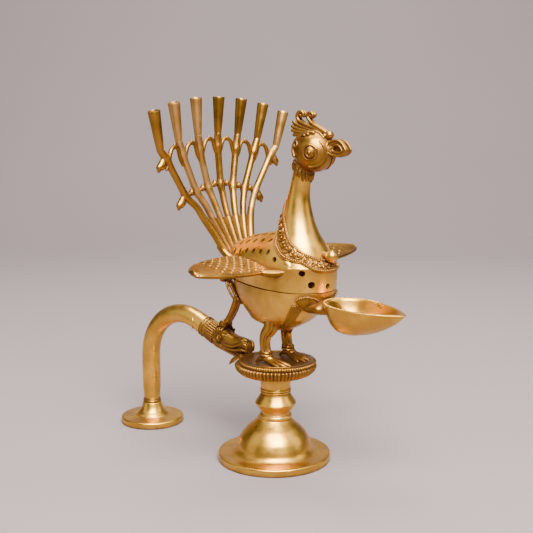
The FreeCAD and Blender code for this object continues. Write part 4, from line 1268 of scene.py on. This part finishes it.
def make_wings():
    spans, chords = 200, 120
    for name, side in (("left", 1), ("right", -1)):
        wing = Shape()
        end = WING_TIPS[name]
        rows = []
        for i in range(spans + 1):
            along = 1 - (1 - i / spans) ** 1.5
            reach = WING_ROOT + (end - 0.12 - WING_ROOT) * along
            lead, trail = wing_edges(reach, end)
            over, under = [], []
            for j in range(chords + 1):
                across = j / chords
                x = trail + (lead - trail) * across
                crown = 0.9 * sin(pi * across) ** 0.7
                thick = 0.75 + 0.25 * sin(pi * across)
                if j in (0, chords):
                    thick = 0.35
                top = crown + thick + feather(across, along)
                over.append(wing_point(x, side * reach, along, top))
                under.append(wing_point(x, side * reach, along, crown * 0.6 - thick))
            rows.append(np.array(over + under[::-1]))
        wing.rings(rows)
        # plain rim along the leading edge and round the tip
        edge = []
        for along in np.linspace(0.16, 0.999, 44):
            reach = WING_ROOT + (end - 0.6 - WING_ROOT) * along
            lead, _ = wing_edges(reach, end)
            edge.append((*wing_point(lead - 0.4, side * reach, along, 0.1), 1.15))
        for along in np.linspace(0.985, 0.7, 16):
            reach = WING_ROOT + (end - 0.6 - WING_ROOT) * along
            _, trail = wing_edges(reach, end)
            radius = 0.85 * (along - 0.55) / 0.43
            edge.append((*wing_point(trail + 0.5, side * reach, along, 0.3), radius))
        tube(wing, edge, sides=12, per=3, up=UP_Z, flat=0.95)
        # shoulder that carries the wing into the band
        tube(wing, [(8.5, side * 30, 122.6, 1.2), (12.5, side * 25, 121.6, 2.4),
                    (17, side * 21.5, 121.2, 3.0), (22.5, side * 18.6, 122.0, 2.2),
                    (27.5, side * 16.6, 123.4, 0.8)], sides=20, up=UP_Z, flat=0.75)
        piece("wing_" + name + "_feathers", wing, LID, "brass_cast", ["wing_" + name], crease=60)


# ------------------------------------------------------------------------- tail

# levels of the fan on its middle rod: x, spread in y for each rod, z, drop in a rod,
# drop in a rod squared, curl forward in a rod squared, pinch inwards in a rod squared
TAIL = {
    "foot": (-28.5, 3.9, 127.0, 0, 0, 0, 0),
    "hip": (-33.8, 5.4, 139.0, 0, 0, 0, 0),
    "root": (-38.2, 7.1, 149.0, 0, 0, 0, 0),
    "low": (-40.7, 8.4, 156.0, 0, 0, 0.05, 0),
    "lower": (-44.4, 11.1, 169.0, 2.1, 0, 0.12, 0.07),
    "upper": (-46.6, 16.3, 192.2, 2.1, 0, 0.36, 0.07),
    "socket": (-46.4, 17.9, 200.5, 0, 1.05, 0.38, 0.06),
    "top": (-45.4, 20.6, 223.0, 0, 1.0, 0.42, 0.144),
}


STEPS = range(-3, 4)
SMOKED = (-2, -1, 3)


def rod_point(name, step):
    """A level's point on a rod, counted from the middle one; left is positive."""
    x, y, z, drop, bow, curl, pinch = TAIL[name]
    square = step * step
    return np.array((x + curl * square, step * (y - pinch * square),
                     z - drop * abs(step) - bow * square))


def make_rods():
    """The seven feather rods with the open cups that hold the incense."""
    for index, step in enumerate(STEPS, start=1):
        rod = Shape()
        low = rod_point("low", step)
        lower = rod_point("lower", step)
        upper = rod_point("upper", step)
        start = rod_point("socket", step)
        stop = rod_point("top", step)
        tube(rod, [
            (*rod_point("root", step), 2.0), (*low, 2.15), (*between(low, lower, 0.65), 2.2),
            (*lower, 2.75), (*between(lower, upper, 0.18), 2.2),
            (*between(lower, upper, 0.5), 2.15), (*between(lower, upper, 0.84), 2.25),
            (*upper, 2.9), (*between(upper, start, 0.4), 2.5), (*start, 2.2),
        ], sides=22, per=5)
        out = unit(stop - start)
        side = unit(np.cross(out, (1, 0, 0)))
        third = np.cross(side, out)
        turn = circle(32)
        length = np.linalg.norm(stop - start)
        rows = []
        profile = [(0, 2.0), (0.04, 2.3), (0.3, 2.75), (0.65, 3.25), (0.93, 3.66), (0.985, 3.76),
                   (1.0, 3.62), (1.0, 3.2), (0.985, 3.0), (0.9, 2.75), (0.55, 1.7), (0.5, 1.4)]
        for at, radius in profile:
            ring = np.outer(np.cos(turn) * radius, side) + np.outer(np.sin(turn) * radius, third)
            rows.append(start + out * length * at + ring)
        rod.rings(rows)
        piece(f"tail_stem_{index}", rod, LID, "brass_brown" if step in SMOKED else "brass_cast",
              [f"tail_rod_{index}"])


def make_fan_root():
    root = Shape()
    names = ("foot", "hip", "root", "low")
    for step in STEPS:
        sizes = (2.6, 2.5, 2.3, 1.95) if abs(step) == 3 else (1.7, 1.9, 1.95, 1.95)
        tube(root, [(*rod_point(n, step), r) for n, r in zip(names, sizes)], sides=20, per=6)
    # the web between the ribs, from the back up to where the fan opens
    across = np.linspace(-3, 3, 31)
    level = spline([TAIL[n][:3] for n in names], 3)
    rows = []
    for t in np.linspace(0, 1, 10):
        x, y, z = level[int(round(t * (len(level) - 1) * 0.66))]
        thick = 1.1 * (1 - 0.6 * t)
        front = [(x + thick, y * a, z) for a in across]
        back = [(x - thick, y * a, z) for a in across[::-1]]
        rows.append(np.array(front + back))
    root.rings(rows)
    # rib ends that run down on to the back
    pair(root, [(-31.5, 13.8, 131.5, 2.5), (-27.8, 12.4, 127.2, 2.6),
                (-24.2, 11.8, 124.6, 2.2), (-21.5, 12.6, 122.8, 1.2)], sides=20)
    piece("tail_fan_root", root, LID, "brass_cast", ["tail_root"])


def make_links():
    """The pointed arches and the beaded links between neighbouring rods."""
    arches = Shape()
    links = Shape()
    for step in STEPS[:-1]:
        left = rod_point("upper", step)
        right = rod_point("upper", step + 1)
        peak = (left + right) / 2 + (0, 0, 6.2)
        halves = [[(*(foot - (0, 0, 6)), 1.0), (*(between(foot, peak, 0.28) - (0, 0, 3.4)), 1.35),
                   (*(between(foot, peak, 0.55) + (0, 0, 0.8)), 1.35)] for foot in (left, right)]
        tube(arches, halves[0] + [(*peak, 1.15)] + halves[1][::-1])
        tube(arches, [(*(peak - (0, 0, 0.4)), 1.2), (*(peak + (0, 0, 1.3)), 0.75)], sides=14)
        left = rod_point("lower", step)
        right = rod_point("lower", step + 1)
        middle = (left + right) / 2 + (0, 0, 1.4)
        tube(links, [(*left, 1.15), (*between(left, middle, 0.4), 0.95), (*middle, 1.05),
                     (*between(right, middle, 0.4), 0.95), (*right, 1.15)], sides=14)
        ball(links, middle, (1.85, 1.7, 2.1), rows=14, cols=22)
        ball(links, middle + (0, 0, 1.9), (0.85, 0.85, 1.0), rows=8, cols=12)
    piece("tail_arches", arches, LID, "brass_cast", ["tail_upper_links"])
    piece("tail_beads", links, LID, "brass_cast", ["tail_lower_links"])


def make_buds():
    """The drops that hang outside the fan's outer rods."""
    buds = Shape()
    for side in SIDES:
        for level in ("lower", "upper"):
            node = rod_point(level, side * 3)
            tip = node + (0, side * 5.6, -5.0)
            tube(buds, [(*node, 1.9), (*(node + (0, side * 2.6, -0.8)), 2.1),
                        (*between(node, tip, 0.65), 2.7), (*tip, 2.3),
                        (*(tip + (0, side * 0.6, -1.6)), 1.2)], sides=18, up=UP_X, flat=0.85)
    piece("tail_bud_drops", buds, LID, "brass_cast", ["tail_buds"])


# ---------------------------------------------------------------- build the bird

make_pedestal()
make_handle()
make_makara()
make_strut()
make_legs()
make_hollows()
make_spoon()
skin = make_lid_and_neck()
make_necklace(skin)
make_knob()
make_ruff(skin)
make_head()
make_beak()
make_crest()
make_wings()
make_rods()
make_fan_root()
make_links()
make_buds()
for node in ("tie_stud", "stud_washer", "stud_nut", "hinge_pin", "hinge_leaf_lid"):
    item = frame["nodes"][node]
    item.data.materials.clear()
    item.data.materials.append(FINISH["brass_hardware"])


# ------------------------------------------------------- floor, light and camera

def make_stage():
    paint = Paint("paper")
    tint = paint.ramp(paint.noise(2.2, 3, 0.5), 0.0, 1.0, 0.162, 0.186)
    red, rest = (paint.sum("MULTIPLY", tint, share, clamp=False) for share in (1.0, 0.82))
    grey = paint.add("CombineColor", Red=red, Green=rest, Blue=rest)
    paint.put(grey.outputs["Color"], paint.shader.inputs["Base Color"])
    paint.shader.inputs["Roughness"].default_value = 0.85
    # the paper lies flat, turns up behind the object in an arc, and stands, in metres
    front, back, curve, top, half = -2.5, 0.9, 0.7, 3.0, 3.5
    sweep = [(front, 0.0), (back, 0.0)]
    sweep += [(out, z) for out, z in arc(back, curve, curve, -90, 0, 12)]
    sweep.append((back + curve, top))
    data = bpy.data.meshes.new("sweep")
    spots = [(across, out, z) for out, z in sweep for across in (-half, half)]
    faces = [(2 * i, 2 * i + 1, 2 * i + 3, 2 * i + 2) for i in range(len(sweep) - 1)]
    data.from_pydata(spots, [], faces)
    data.shade_smooth()
    floor = bpy.data.objects.new("paper_sweep", data)
    data.materials.append(paint.material)
    floor.rotation_euler.z = radians(40.7)
    bpy.context.scene.collection.objects.link(floor)

    def softbox(name, azimuth, elevation, distance, size, power, colour=(1, 1, 1),
                aim=(0, 0, 0.1)):
        light = bpy.data.lights.new(name, "AREA")
        light.shape = "RECTANGLE"
        light.size, light.size_y = size
        light.energy = power
        light.color = colour
        lamp = bpy.data.objects.new(name, light)
        a, e = radians(azimuth), radians(elevation)
        back = Vector((sin(a) * cos(e), -cos(a) * cos(e), sin(e)))
        lamp.location = Vector(aim) + back * distance
        lamp.rotation_mode = "QUATERNION"
        lamp.rotation_quaternion = (-back).to_track_quat("-Z", "Y")
        bpy.context.scene.collection.objects.link(lamp)

    softbox("key_softbox", 52, 50, 1.3, (0.95, 0.95), 108, (1.0, 0.97, 0.92))
    softbox("left_fill", -35, 24, 1.5, (0.9, 1.4), 4)
    softbox("right_fill", 125, 30, 1.5, (0.7, 1.2), 6)
    softbox("overhead", 0, 88, 1.7, (1.6, 1.6), 5)
    softbox("wall_wash", 41, 60, 1.2, (0.8, 0.8), 34, aim=(-0.6, 0.75, 0.25))
    world = bpy.data.worlds.new("studio")
    bpy.context.scene.world = world
    world.use_nodes = True
    sky = world.node_tree.nodes["Background"]
    sky.inputs["Color"].default_value = (0.78, 0.75, 0.74, 1)
    sky.inputs["Strength"].default_value = 0.2

    lens = bpy.data.cameras.new("camera")
    lens.lens = 63.1
    lens.sensor_width = 36
    lens.clip_start = 0.01
    camera = bpy.data.objects.new("camera", lens)
    camera.location = (0.38115, -0.427, 0.2096)
    look = Vector((0.01605, -0.0031, 0.121)) - camera.location
    camera.rotation_mode = "QUATERNION"
    camera.rotation_quaternion = look.to_track_quat("-Z", "Y")
    bpy.context.scene.collection.objects.link(camera)
    bpy.context.scene.camera = camera


make_stage()
